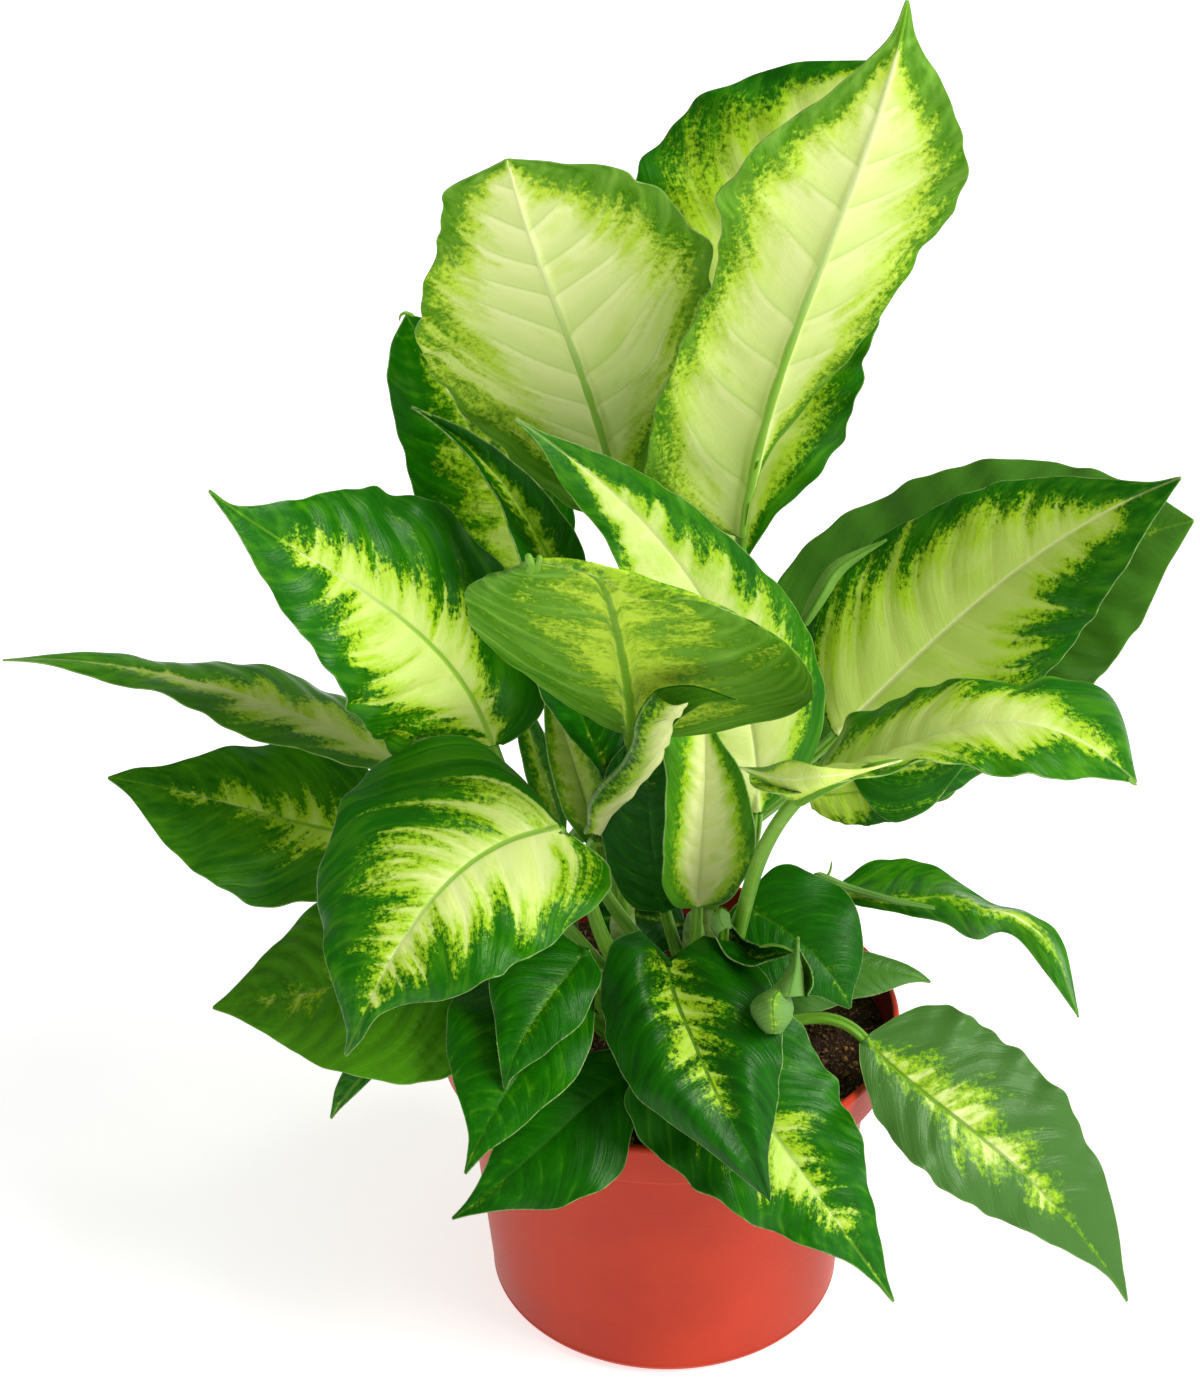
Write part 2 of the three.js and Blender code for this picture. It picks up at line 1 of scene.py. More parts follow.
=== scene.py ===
"""Looks of the potted dieffenbachia: fine leaves with relief and variegation, canes, compost and pot.
Shapes are worked out in millimetres in the frame of the solids and made in metres."""
import math

import bpy
import numpy as np
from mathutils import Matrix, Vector


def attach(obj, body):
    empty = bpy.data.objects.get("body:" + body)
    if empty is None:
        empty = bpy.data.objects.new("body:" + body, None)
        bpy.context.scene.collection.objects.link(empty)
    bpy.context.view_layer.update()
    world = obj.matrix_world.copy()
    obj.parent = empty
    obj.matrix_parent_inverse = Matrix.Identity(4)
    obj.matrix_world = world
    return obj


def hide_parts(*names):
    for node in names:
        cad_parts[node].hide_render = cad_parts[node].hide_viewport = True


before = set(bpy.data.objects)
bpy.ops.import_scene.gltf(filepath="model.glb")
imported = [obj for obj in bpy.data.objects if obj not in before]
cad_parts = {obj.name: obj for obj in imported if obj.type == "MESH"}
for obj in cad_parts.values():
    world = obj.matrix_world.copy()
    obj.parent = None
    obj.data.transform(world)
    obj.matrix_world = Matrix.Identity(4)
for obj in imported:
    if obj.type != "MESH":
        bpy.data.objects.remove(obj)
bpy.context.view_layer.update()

MM = 0.001

# ---------------------------------------------------------------- camera

CAMERA_PLACE = np.array([-24.9, -827.6, 711.4])
CAMERA_DIP = math.radians(29.105)
PHOTO_SIZE = (1200, 1387)
FOCAL_PIXELS = 2750.0


def seen(pixels):
    """Points from rows of (column and row in the photo, y in millimetres)."""
    u, v, y = np.moveaxis(np.asarray(pixels, float), -1, 0)
    right = u - PHOTO_SIZE[0] / 2
    down = v - PHOTO_SIZE[1] / 2
    toward_y = FOCAL_PIXELS * math.cos(CAMERA_DIP) - down * math.sin(CAMERA_DIP)
    toward_z = -FOCAL_PIXELS * math.sin(CAMERA_DIP) - down * math.cos(CAMERA_DIP)
    reach = (y - CAMERA_PLACE[1]) / toward_y
    return CAMERA_PLACE + reach[..., None] * np.stack([right, toward_y, toward_z], -1)


def shown(points):
    """The column and row in the photo of points in millimetres, the inverse of seen."""
    x, y, z = np.moveaxis(points - CAMERA_PLACE, -1, 0)
    ahead = y * math.cos(CAMERA_DIP) - z * math.sin(CAMERA_DIP)
    up = y * math.sin(CAMERA_DIP) + z * math.cos(CAMERA_DIP)
    across = PHOTO_SIZE[0] / 2 + FOCAL_PIXELS * x / ahead
    return np.stack([across, PHOTO_SIZE[1] / 2 - FOCAL_PIXELS * up / ahead], -1)


# ---------------------------------------------------------------- canes and leaves

# Most are as in the solids, and some leaves are fitted more closely to the photo. A cane has three
# points, and its radius at foot and top.
CANES = {
    "left": ([(-17, 12, 64), (-17, 10, 125), (-16, 9, 180)], (5.5, 3.8)),
    "back": ([(-36, 38, 64), (-37, 38, 115), (-39, 40, 168)], (5.5, 3.8)),
    "right": ([(12, 22, 64), (14, 20, 140), (16, 17, 215)], (5.5, 3.6)),
    "middle": ([(12, -14, 64), (9, -16, 120), (8, -18, 172)], (5.5, 3.8)),
    "front": ([(8, -38, 70), (8, -40, 105), (7, -42, 138)], (5, 4)),
    "side": ([(-17, -22, 70), (-17, -24, 115), (-16, -26, 158)], (5, 3.8)),
}

# Places along a blade: its ends, whose half widths are the same for all, and the six between them, whose
# half widths a leaf gives. PLAIN is what a leaf with one number has there, as shares of it.
STATIONS = [0, 0.1, 0.25, 0.45, 0.65, 0.82, 0.93, 1]
PLAIN = [0.62, 0.93, 1, 0.86, 0.55, 0.23]

# Each leaf, in millimetres and degrees:
# cane, start: the cane its petiole leaves, and at what height. leave, arrive: the petiole's way there
# and at the blade. stalk: its radius at both ends, before it widens at the cane.
# rib: four points of the midrib from base to tip. face, face_tip: the way the upper side faces.
# left, right: half widths at the stations between base and tip, seen on the upper side with the tip
# ahead, or one number for a plain blade. fold: angle of both halves at base and tip, and fold_left or
# fold_right that of one half. curl: how much each half bends back.
# wave: height of the large waves. lobe: how far each half reaches back at the base, in half widths.
# pale: how far the pale middle reaches on each side, in half widths. turned: what the upper side adds
# to that. tint: darkness and paleness, set leaf by leaf partly as the leaf's own colour and partly as
# painted light and shade for how lit or shaded the leaf is; a darkness below -0.2 paints a grey sheen.
# mark: the rib's tint, the mottling and how deep the comb is.
# relief, frill, stout: see RELIEF, FRILL and KEEL. nicks: side, place along the blade, how far the
# margin moves out there, and over what share of the blade.
LEAVES = {
    "top_right": {
        "cane": "right", "start": 205, "face": (-0.1, 0.9, 0.35), "fold": (8, 20), "curl": (10, 30),
        "wave": 3,
        "rib": [(23, 13, 305), (34, -14, 382), (51, -36, 446), (63, -44, 502)],
        "left": (2.5, 15, 29, 39, 23, 6), "right": (33, 38, 31, 38, 15, 3.5),
        "pale": ((0.6, 0.85, 0.85, 0.72, 0.5, 0.05), (0.8, 0.9, 0.85, 0.72, 0.5, 0.05)),
        "tint": (0.3, 0.8), "mark": (-0.1, 0.1, 0.45), "relief": 0.036, "stout": 1.35,
        "nicks": ((1, 0.6, 2.5, 0.02),),
    },
    "top_left": {
        "cane": "back", "start": 160, "face": (0.1, 0.9, 0.35), "fold": (5, 10), "curl": (10, 20),
        "wave": 3,
        "rib": [(-17, 24, 305), (-28, 8, 358), (-42, -12, 407), (-53, -22, 448)],
        "left": (11, 25, 39, 53, 44, 28), "right": (23, 35, 50, 42, 28, 21),
        "pale": ((0.5, 0.7, 0.95, 0.8, 0.6, 0.3), (0.5, 0.7, 0.88, 0.88, 0.78, 0.5)),
        "tint": (0.28, 0.95), "mark": (-0.1, 0.15, 0.4), "relief": 0.036, "frill": 1.1, "stout": 1.35,
        "nicks": ((-1, 0.955, -3.0, 0.012), (-1, 0.9, 1.5, 0.02), (1, 0.93, 1.2, 0.03)),
    },
    "top_back": {
        "cane": "right", "start": 192, "face": (0, -0.75, 0.6), "fold": (15, 10), "curl": (15, 15),
        "wave": 3,
        "rib": [(24, 38, 283), (32, 50, 342), (44, 62, 397), (66, 75, 450)],
        "left": (28, 46, 58, 60, 47, 24), "right": (10, 28, 32, 33, 27, 19),
        "pale": ((0.7, 0.74, 0.7, 0.68, 0.72, 0.5), (0.5, 0.6, 0.65, 0.7, 0.65, 0.4)),
        "tint": (0.45, 0.7), "mark": (0.1, 0.05, 0.4), "frill": 1.2,
    },
    "left_behind": {
        "cane": "left", "start": 162, "face": (-0.1, -0.75, 0.65), "fold": (15, 10), "curl": (15, 15),
        "wave": 2,
        "rib": [(-45, 46, 259), (-58, 50, 299), (-75, 48, 339), (-90, 42, 373)],
        "left": (19, 28, 28, 23, 17, 10), "right": (10, 21, 25, 20, 15, 7),
        "pale": ((0.4, 0.45, 0.4, 0.15, -0.05, -0.2), (0.4, 0.45, 0.4, 0.2, 0.0, -0.1)),
        "tint": (0.5, 0.35), "mark": (0.0, 0.5, 0.5),
    },
    "left_folded": {
        "cane": "left", "start": 172, "face": (0.25, -0.7, 0.65), "fold": (30, 55), "curl": (0, 0),
        "rib": [(-34, 2, 281), (-45, -2, 310), (-61, 2, 334), (-87, 8, 354)],
        "left": (8, 18, 16, 9, 5, 2), "right": (8, 12, 11, 8, 5, 2),
        "pale": ((0.2, 0.3, 0.25, 0.45, 0.2, -0.1), (0.2, 0.3, 0.3, 0.15, -0.1, -0.3)),
        "tint": (0.6, 0.2), "mark": (0.0, 0.35, 0.8),
    },
    "centre_tall": {
        "cane": "right", "start": 150, "face": (0.1, -0.75, 0.65), "fold": (12, 15), "curl": (25, 25),
        "wave": 2,
        "rib": [(31, 6, 199), (17, -2, 273), (-15, -14, 327), (-52, -20, 362)],
        "left": (27, 37, 36, 15, 9, 2.5), "right": (23, 30, 21, 14, 6, 1.5),
        "pale": ((0.8, 0.85, 0.9, 0.85, 0.1, -0.3), (0.6, 0.7, 0.65, 0.3, -0.05, -0.4)),
        "tint": (0.33, 0.8), "mark": (0.8, 0.0, 1.0),
    },
    "centre_bowed": {
        "cane": "right", "start": 162, "face": (0.1, 0.8, 0.6), "fold": (5, 5), "curl": (15, 15), "wave": 2,
        "rib": [(-14, -22, 243), (-16, -64, 300), (-24, -96, 340), (-45, -112, 359)],
        "left": (25, 60, 52, 24, 16, 20), "right": (21, 39, 48, 44, 43, 49),
        "pale": ((0.35, 0.42, 0.38, 0.35, 0.3, 0.2), (0.25, 0.32, 0.32, 0.28, 0.15, 0.1)),
        "tint": (0.35, 0.0), "mark": (-0.85, 0.9, 0.05), "relief": 0.02, "frill": 0.2, "turned": 0.8,
    },
    "left_upper": {
        "cane": "back", "start": 152, "face": (-0.15, -0.6, 0.8), "fold": (10, 12), "curl": (25, 30),
        "wave": 2, "lobe": (0.25, 0.9),
        "rib": [(-62, -6, 234), (-83, -18, 281), (-114, -30, 314), (-148, -40, 346)],
        "left": (28, 35, 35, 25, 12, 4), "right": (22, 35, 42, 32, 13, 1.5),
        "pale": ((0.4, 0.55, 0.5, 0.25, -0.1, -0.4), (0.45, 0.5, 0.38, 0.22, -0.1, -0.4)),
        "tint": (0.45, 0.55), "mark": (0.0, 0.0, 1.3), "frill": 0.9,
    },
    "left_narrow": {
        "cane": "back", "start": 135, "face": (-0.2, 0.12, 0.97), "fold": (12, 15), "curl": (30, 30),
        "wave": 2,
        "rib": [(-94, 14, 214), (-138, 22, 232), (-187, 32, 242), (-239, 40, 242)],
        "left": (16, 22, 22, 15, 7, 3), "right": (18, 30, 24, 14, 7, 3),
        "pale": ((0.65, 0.65, 0.55, 0.35, 0, -0.3), (0.5, 0.4, 0.25, 0.1, -0.1, -0.3)),
        "tint": (0.15, 0.7), "mark": (0.8, 0.0, 0.8),
    },
    "left_middle": {
        "cane": "side", "start": 140, "face": (-0.1, -0.35, 0.93), "fold": (10, 12), "curl": (25, 25),
        "wave": 1.5,
        "rib": [(-96, -4, 194), (-128, 2, 196), (-162, 6, 204), (-199, 8, 212)],
        "left": (19, 30, 37, 31, 18, 6), "right": (16, 32, 33, 27, 11, 6),
        "pale": ((0.28, 0.24, 0.14, 0.06, -0.05, -0.3), (0.3, 0.22, 0.1, 0.04, -0.04, -0.3)),
        "tint": (0.28, 0.35), "mark": (0.0, 0.0, 1.0),
    },
    "left_broad": {
        "cane": "side", "start": 152, "face": (-0.2, -0.75, 0.6), "fold": (10, 15), "curl": (30, 40),
        "wave": 3, "lobe": (2, 0.1), "arrive": (-0.4, -0.3, 0.85),
        "rib": [(-39, -48, 226), (-70, -76, 227), (-91, -100, 210), (-107, -108, 177)],
        "left": (21, 36, 36, 27, 6, 3), "right": (39, 51, 44, 33, 15, 3.5),
        "pale": ((0.7, 0.68, 0.52, 0.3, 0.06, -0.4), (0.4, 0.36, 0.3, 0.2, 0.03, -0.4)),
        "tint": (0.42, 0.9), "mark": (-0.1, 0.12, 1.2), "frill": 0.7,
    },
    "left_low": {
        "cane": "side", "start": 127, "face": (-0.15, -0.5, 0.85), "fold": (8, 8), "curl": (25, 25),
        "wave": 1.5,
        "rib": [(-59, -40, 174), (-90, -48, 169), (-125, -52, 162), (-158, -54, 157)],
        "left": (14, 39, 39, 28, 12, 4), "right": (17, 36, 41, 33, 16, 6),
        "pale": ((-0.1, -0.03, 0.04, 0.02, -0.1, -0.3), (-0.1, -0.03, 0.02, 0.0, -0.1, -0.3)),
        "tint": (0.04, 0.1), "mark": (-0.4, 0.1, 0.9), "relief": 0.06,
    },
    "left_lowest": {
        "cane": "side", "start": 118, "face": (-0.1, -0.6, 0.8),
        "rib": [(-82, -20, 136), (-96, -30, 126), (-111, -34, 111), (-122, -34, 94)],
        "left": (3, 3, 3, 3, 2, 1), "right": (6, 9, 9, 8, 5, 2),
        "pale": (-0.3, -0.3),
        "tint": (0.4, 0.3),
    },
    "front_left_small": {
        "cane": "side", "start": 138, "face": (-0.1, -0.75, 0.65), "fold": (10, 15), "curl": (30, 30),
        "wave": 2, "lobe": (0.3, 0.5), "arrive": (-0.2, -0.3, 0.9),
        "rib": [(-30, -64, 187), (-40, -80, 182), (-50, -93, 173), (-56, -101, 158)],
        "left": (9, 12, 13, 10, 5, 1.5), "right": (24, 28, 22, 12, 5, 2),
        "pale": ((-0.25, -0.2, -0.12, -0.15, -0.3, -0.4), (-0.25, -0.15, -0.1, -0.15, -0.3, -0.4)),
        "tint": (0.6, 0.1), "mark": (-0.9, 0.0, 0.8), "relief": 0.016,
    },
    "front_left_low": {
        "cane": "side", "start": 117, "face": (-0.2, -0.7, 0.7), "fold": (8, 12), "curl": (25, 25),
        "wave": 2,
        "rib": [(-28, -56, 168), (-43, -82, 164), (-58, -104, 154), (-69, -116, 135)],
        "left": (6, 13, 16, 12, 6, 2.5), "right": (19, 34, 33, 20, 5, 1.5),
        "pale": (-0.5, -0.5),
        "tint": (0.5, 0.2), "mark": (-0.9, 0.0, 1.0), "relief": 0.018,
    },
    "front_left_rim": {
        "cane": "front", "start": 112, "face": (-0.1, -0.65, 0.75), "fold": (10, 12), "curl": (25, 25),
        "wave": 2,
        "rib": [(-9, -62, 141), (-28, -78, 135), (-50, -92, 121), (-75, -98, 101)],
        "left": (20, 15, 25, 21, 9, 3), "right": (9, 16, 18, 15, 6, 2),
        "pale": (-0.5, -0.5),
        "tint": (0.6, 0.2), "mark": (-0.9, 0.0, 1.0), "relief": 0.018,
    },
    "front_middle": {
        "cane": "front", "start": 136, "face": (0.05, -0.75, 0.65), "fold": (12, 15), "curl": (30, 30),
        "wave": 2, "lobe": (1.5, 1.2), "arrive": (0, -0.15, 0.95),
        "rib": [(-2, -58, 178), (4, -82, 166), (15, -104, 151), (31, -116, 123)],
        "left": (23, 29, 28, 23, 13, 4), "right": (20, 24, 25, 16, 7, 2.5),
        "pale": ((0.1, 0.17, 0.17, 0.04, -0.1, -0.3), (0.1, 0.13, 0.16, 0.04, -0.1, -0.3)),
        "tint": (0.7, 0.4), "mark": (-1.0, 0.0, 0.85), "relief": 0.012,
    },
    "front_right": {
        "cane": "front", "start": 122, "face": (0.1, -0.65, 0.75), "fold": (10, 12), "curl": (25, 25),
        "wave": 3,
        "rib": [(11, -60, 152), (30, -84, 134), (51, -102, 110), (75, -110, 75)],
        "left": (26, 29, 27, 20, 11, 3.5), "right": (35, 38, 31, 19, 6, 1.5),
        "pale": ((0.0, 0.06, 0.13, 0.08, -0.1, -0.3), (0.15, 0.26, 0.34, 0.14, -0.1, -0.3)),
        "tint": (0.5, 0.5), "mark": (0.1, 0.1, 1.4), "frill": 1.0,
    },
    "right_drooping": {
        "cane": "front", "start": 113, "face": (0.1, -0.6, 0.8), "fold": (8, 12), "curl": (15, 20),
        "wave": 2,
        "rib": [(68, -42, 135), (94, -58, 118), (127, -70, 93), (163, -76, 45)],
        "left": (24, 33, 34, 29, 19, 7), "right": (10, 19, 24, 18, 9, 1.5),
        "pale": ((0.16, 0.26, 0.26, 0.14, -0.02, -0.3), (0.05, 0.17, 0.19, 0.14, -0.03, -0.3)),
        "tint": (-0.9, 1.3), "mark": (-0.6, 0.35, 0.9), "frill": 0.9,
    },
    "right_narrow": {
        "cane": "right", "start": 128, "face": (0, -0.3, 0.95), "face_tip": (0.5, -0.6, 0.6),
        "fold": (20, 15), "curl": (15, 15), "wave": 2,
        "rib": [(61, 8, 162), (89, 4, 166), (124, -4, 158), (149, -10, 121)],
        "left": (8, 12, 9, 5, 6, 2), "right": (6, 8, 11, 7, 6, 2.5),
        "pale": ((0.1, -0.1, -0.1, 0.2, 0.3, 0), (0.1, 0.25, 0.05, 0.1, 0.3, 0)),
        "tint": (0.35, 0.1), "mark": (0.0, 0.5, 0.5),
    },
    "right_small": {
        "cane": "middle", "start": 135, "face": (0.1, -0.65, 0.75), "curl": (25, 25), "wave": 1,
        "arrive": (0.3, -0.1, 0.9),
        "rib": [(26, -16, 174), (40, -24, 169), (53, -32, 160), (63, -36, 144)],
        "left": (19, 23, 26, 21, 12, 3.5), "right": (9, 17, 20, 18, 8, 4),
        "pale": (-0.3, -0.3),
        "tint": (0.6, 0.2), "mark": (-0.8, 0.0, 1.0), "relief": 0.014,
    },
    "right_pointed": {
        "cane": "middle", "start": 118, "face": (0.05, -0.5, 0.85), "fold": (8, 8),
        "rib": [(44, -6, 142), (60, -6, 140), (78, -6, 139), (95, -6, 134)],
        "left": (20, 13, 9, 6, 4, 2), "right": (19, 17, 12, 9, 4, 1.5),
        "pale": (-0.3, -0.3),
        "tint": (-0.75, 0.2), "mark": (-0.8, 0.0, 0.2),
    },
    "right_arched": {
        "cane": "middle", "start": 140, "face": (0.05, -0.3, 0.95), "fold_left": (15, 10),
        "fold_right": (80, -10), "curl": (25, 25), "wave": 2, "leave": (0.5, -0.7, 0.6),
        "arrive": (0.55, -0.2, 0.8), "stalk": (3.4, 2.6),
        "rib": [(41, -55, 243), (69, -70, 268), (102, -78, 284), (145, -80, 263)],
        "left": (24, 26, 23, 17, 25, 28), "right": (30, 51, 25, 25, 19, 8),
        "pale": ((0.45, 0.6, 0.62, 0.7, 0.4, 0.0), (0.95, 0.95, 0.9, 0.75, 0.25, -0.1)),
        "tint": (0.35, 0.6), "mark": (0.7, 0.0, 0.8), "frill": 0.9,
    },
    "right_upper": {
        "cane": "right", "start": 178, "face": (0.05, -0.75, 0.65), "fold": (12, 15), "curl": (30, 20),
        "wave": 2, "lobe": (0.25, 0.9),
        "rib": [(59, 18, 224), (93, 16, 265), (127, 8, 303), (166, -4, 334)],
        "left": (29, 42, 37, 28, 13, 3), "right": (38, 39, 36, 29, 19, 8),
        "pale": ((0.75, 0.75, 0.72, 0.6, 0.3, -0.1), (0.6, 0.7, 0.7, 0.5, 0.2, -0.2)),
        "tint": (0.42, 0.4), "mark": (0.9, 0.0, 0.9),
    },
    "right_behind": {
        "cane": "right", "start": 165, "face": (0.05, -0.7, 0.7), "fold": (10, 12), "curl": (30, 25),
        "wave": 2,
        "rib": [(57, 52, 193), (93, 50, 241), (134, 40, 278), (179, 26, 304)],
        "left": (40, 59, 56, 46, 28, 12), "right": (38, 47, 51, 44, 32, 13),
        "pale": (-0.1, -0.1),
        "tint": (-0.6, 0.1), "relief": 0.05, "nicks": ((-1, 0.9, 2.0, 0.03),),
    },
    "centre_cream": {
        "cane": "middle", "start": 152, "face": (0.1, -0.85, 0.5), "fold": (30, 30), "curl": (-20, -20),
        "wave": 1,
        "rib": [(9, -26, 181), (10, -25, 206), (11, -20, 232), (10, -11, 252)],
        "left": (12, 19, 19, 20, 21, 11), "right": (11, 19, 21, 16, 6, 2.5),
        "pale": ((0.55, 0.65, 0.62, 0.5, 0.4, 0.3), (0.75, 0.85, 0.7, 0.6, 0.5, 0.4)),
        "tint": (0.15, 1.3), "mark": (0.9, 0.0, 0.12),
    },
    "centre_rolled": {
        "cane": "middle", "start": 132, "face": (0.3, 0.85, 0.3), "fold": (20, 10), "curl": (40, 40),
        "rib": [(-26, -14, 201), (-16, -38, 237), (-7, -62, 273), (17, -84, 295)],
        "left": (3, 5, 7, 7, 5, 3), "right": (4, 6, 7, 7, 5, 2.5),
        "pale": ((0.5, 0.4, 0.8, 0.9, 0.5, 0.1), (0.5, 0.5, 0.3, 0.3, 0.2, 0)),
        "tint": (0.6, 1.2), "mark": (0.6, 0.0, 0.25),
    },
    "centre_dark": {
        "cane": "middle", "start": 142, "face": (-0.2, -0.8, 0.5), "curl": (10, 10),
        "rib": [(-2, -14, 171), (-6, -16, 192), (-8, -17, 218), (-6, -18, 246)],
        "left": (11, 15, 17, 17, 14, 8), "right": (12, 14, 16, 16, 13, 8),
        "pale": (-0.3, -0.3),
        "tint": (0.6, 0.1), "mark": (-1.0, 0.0, 1.0),
    },
    "centre_shaded": {
        "cane": "left", "start": 152, "face": (0.2, -0.75, 0.6),
        "rib": [(-21, -8, 213), (-26, -16, 237), (-33, -24, 261), (-38, -32, 288)],
        "left": (1.5, 2.5, 6, 9, 11, 10), "right": (7, 16, 20, 18, 13, 6),
        "pale": (-0.15, -0.15),
        "tint": (0.65, 0.1), "mark": (-0.8, 0.0, 1.0),
    },
    "centre_young": {
        "cane": "back", "start": 137, "face": (0, -0.85, 0.5), "fold": (30, 30), "curl": (0, 0),
        "rib": [(-25, 2, 188), (-31, -1, 212), (-37, -2, 236), (-43, 0, 262)],
        "left": 10, "right": 11,
        "pale": ((0.6, 0.8, 0.9, 0.8, 0.5, 0.3), (0.5, 0.6, 0.6, 0.5, 0.3, 0.2)),
        "tint": (0.0, 0.35), "mark": (0.3, 0.5, 0.2),
    },
    "centre_slim": {
        "cane": "back", "start": 127, "face": (0, -0.85, 0.5), "fold": (20, 20), "curl": (0, 0),
        "rib": [(-39, 12, 188), (-44, 14, 206), (-49, 16, 224), (-54, 18, 243)],
        "left": 6.5, "right": 6,
        "pale": ((0.4, 0.45, 0.45, 0.4, 0.2, 0), (0.0, 0.1, 0.1, 0.05, -0.1, -0.1)),
        "tint": (0.35, 0.35), "mark": (0.3, 0.5, 0.3),
    },
    "front_curled": {
        "cane": "side", "start": 132, "face": (0.1, -0.6, 0.8), "face_tip": (-0.2, -0.9, 0.2),
        "fold": (35, 15), "curl": (0, 0), "leave": (0.7, -0.3, 0.1), "arrive": (0, 0.1, 0.95),
        "rib": [(17, -50, 188), (28, -62, 184), (38, -74, 187), (33, -84, 170)],
        "left": (3, 5, 7, 9, 7, 6), "right": (3, 5, 5, 6, 7, 6),
        "pale": (0.1, 0.1),
        "tint": (0.6, 0.2), "mark": (-0.6, 0.0, 0.5),
    },
    "back_left": {
        "cane": "back", "start": 155, "face": (-0.2, -0.35, 0.9), "wave": 2,
        "rib": [(-58, 72, 212), (-80, 104, 232), (-100, 140, 238), (-118, 178, 224)],
        "left": 32, "right": 30,
        "pale": (0.5, 0.45),
        "tint": (0.4, 0.5),
    },
    "back_top": {
        "cane": "right", "start": 207, "face": (0, -0.6, 0.8), "wave": 2,
        "rib": [(8, 68, 258), (10, 104, 298), (14, 146, 322), (18, 190, 326)],
        "left": 34, "right": 36,
        "pale": (0.6, 0.55),
        "tint": (0.4, 0.5),
    },
    "back_right": {
        "cane": "right", "start": 155, "face": (0.1, -0.35, 0.9), "wave": 2,
        "rib": [(50, 72, 196), (84, 104, 218), (118, 138, 224), (150, 172, 208)],
        "left": 30, "right": 32,
        "pale": (0.5, 0.55),
        "tint": (0.4, 0.5),
    },
    "back_low_left": {
        "cane": "back", "start": 125, "face": (-0.2, 0.1, 0.95), "wave": 2,
        "rib": [(-62, 62, 150), (-95, 96, 150), (-125, 125, 135), (-150, 150, 108)],
        "left": 26, "right": 27,
        "pale": (0.3, 0.3),
        "tint": (0.5, 0.4),
    },
    "back_low": {
        "cane": "right", "start": 135, "face": (0, 0.2, 0.95), "wave": 1,
        "rib": [(14, 66, 142), (13, 96, 144), (11, 122, 136), (9, 146, 116)],
        "left": 15, "right": 15,
        "pale": (0.1, 0.15),
        "tint": (0.5, 0.3),
    },
    "inner_left": {
        "cane": "right", "start": 117, "face": (0, -0.7, 0.7),
        "rib": [(6, 34, 132), (-6, 30, 138), (-18, 28, 140), (-28, 28, 136)],
        "left": 14, "right": 14,
        "pale": (-0.1, -0.1),
        "tint": (0.7, 0.1),
    },
    "inner_right": {
        "cane": "right", "start": 122, "face": (0.1, -0.7, 0.7),
        "rib": [(24, 34, 128), (34, 36, 132), (45, 38, 131), (56, 40, 125)],
        "left": 10, "right": 11,
        "pale": (-0.1, -0.05),
        "tint": (0.6, 0.1),
    },
}

NET_COLUMNS = (-1, -0.5, 0, 0.5, 1)
# A look with no pale middle, whose darkness below -0.2 paints a grey sheen on the blade.
PAINTED_SHEEN_LOOK = {
    "pale": (-0.6, -0.6), "tint": (-0.8, 0.2), "mark": (-1.0, 0.0, 0.2), "frill": 0.1, "relief": 0.01,
}

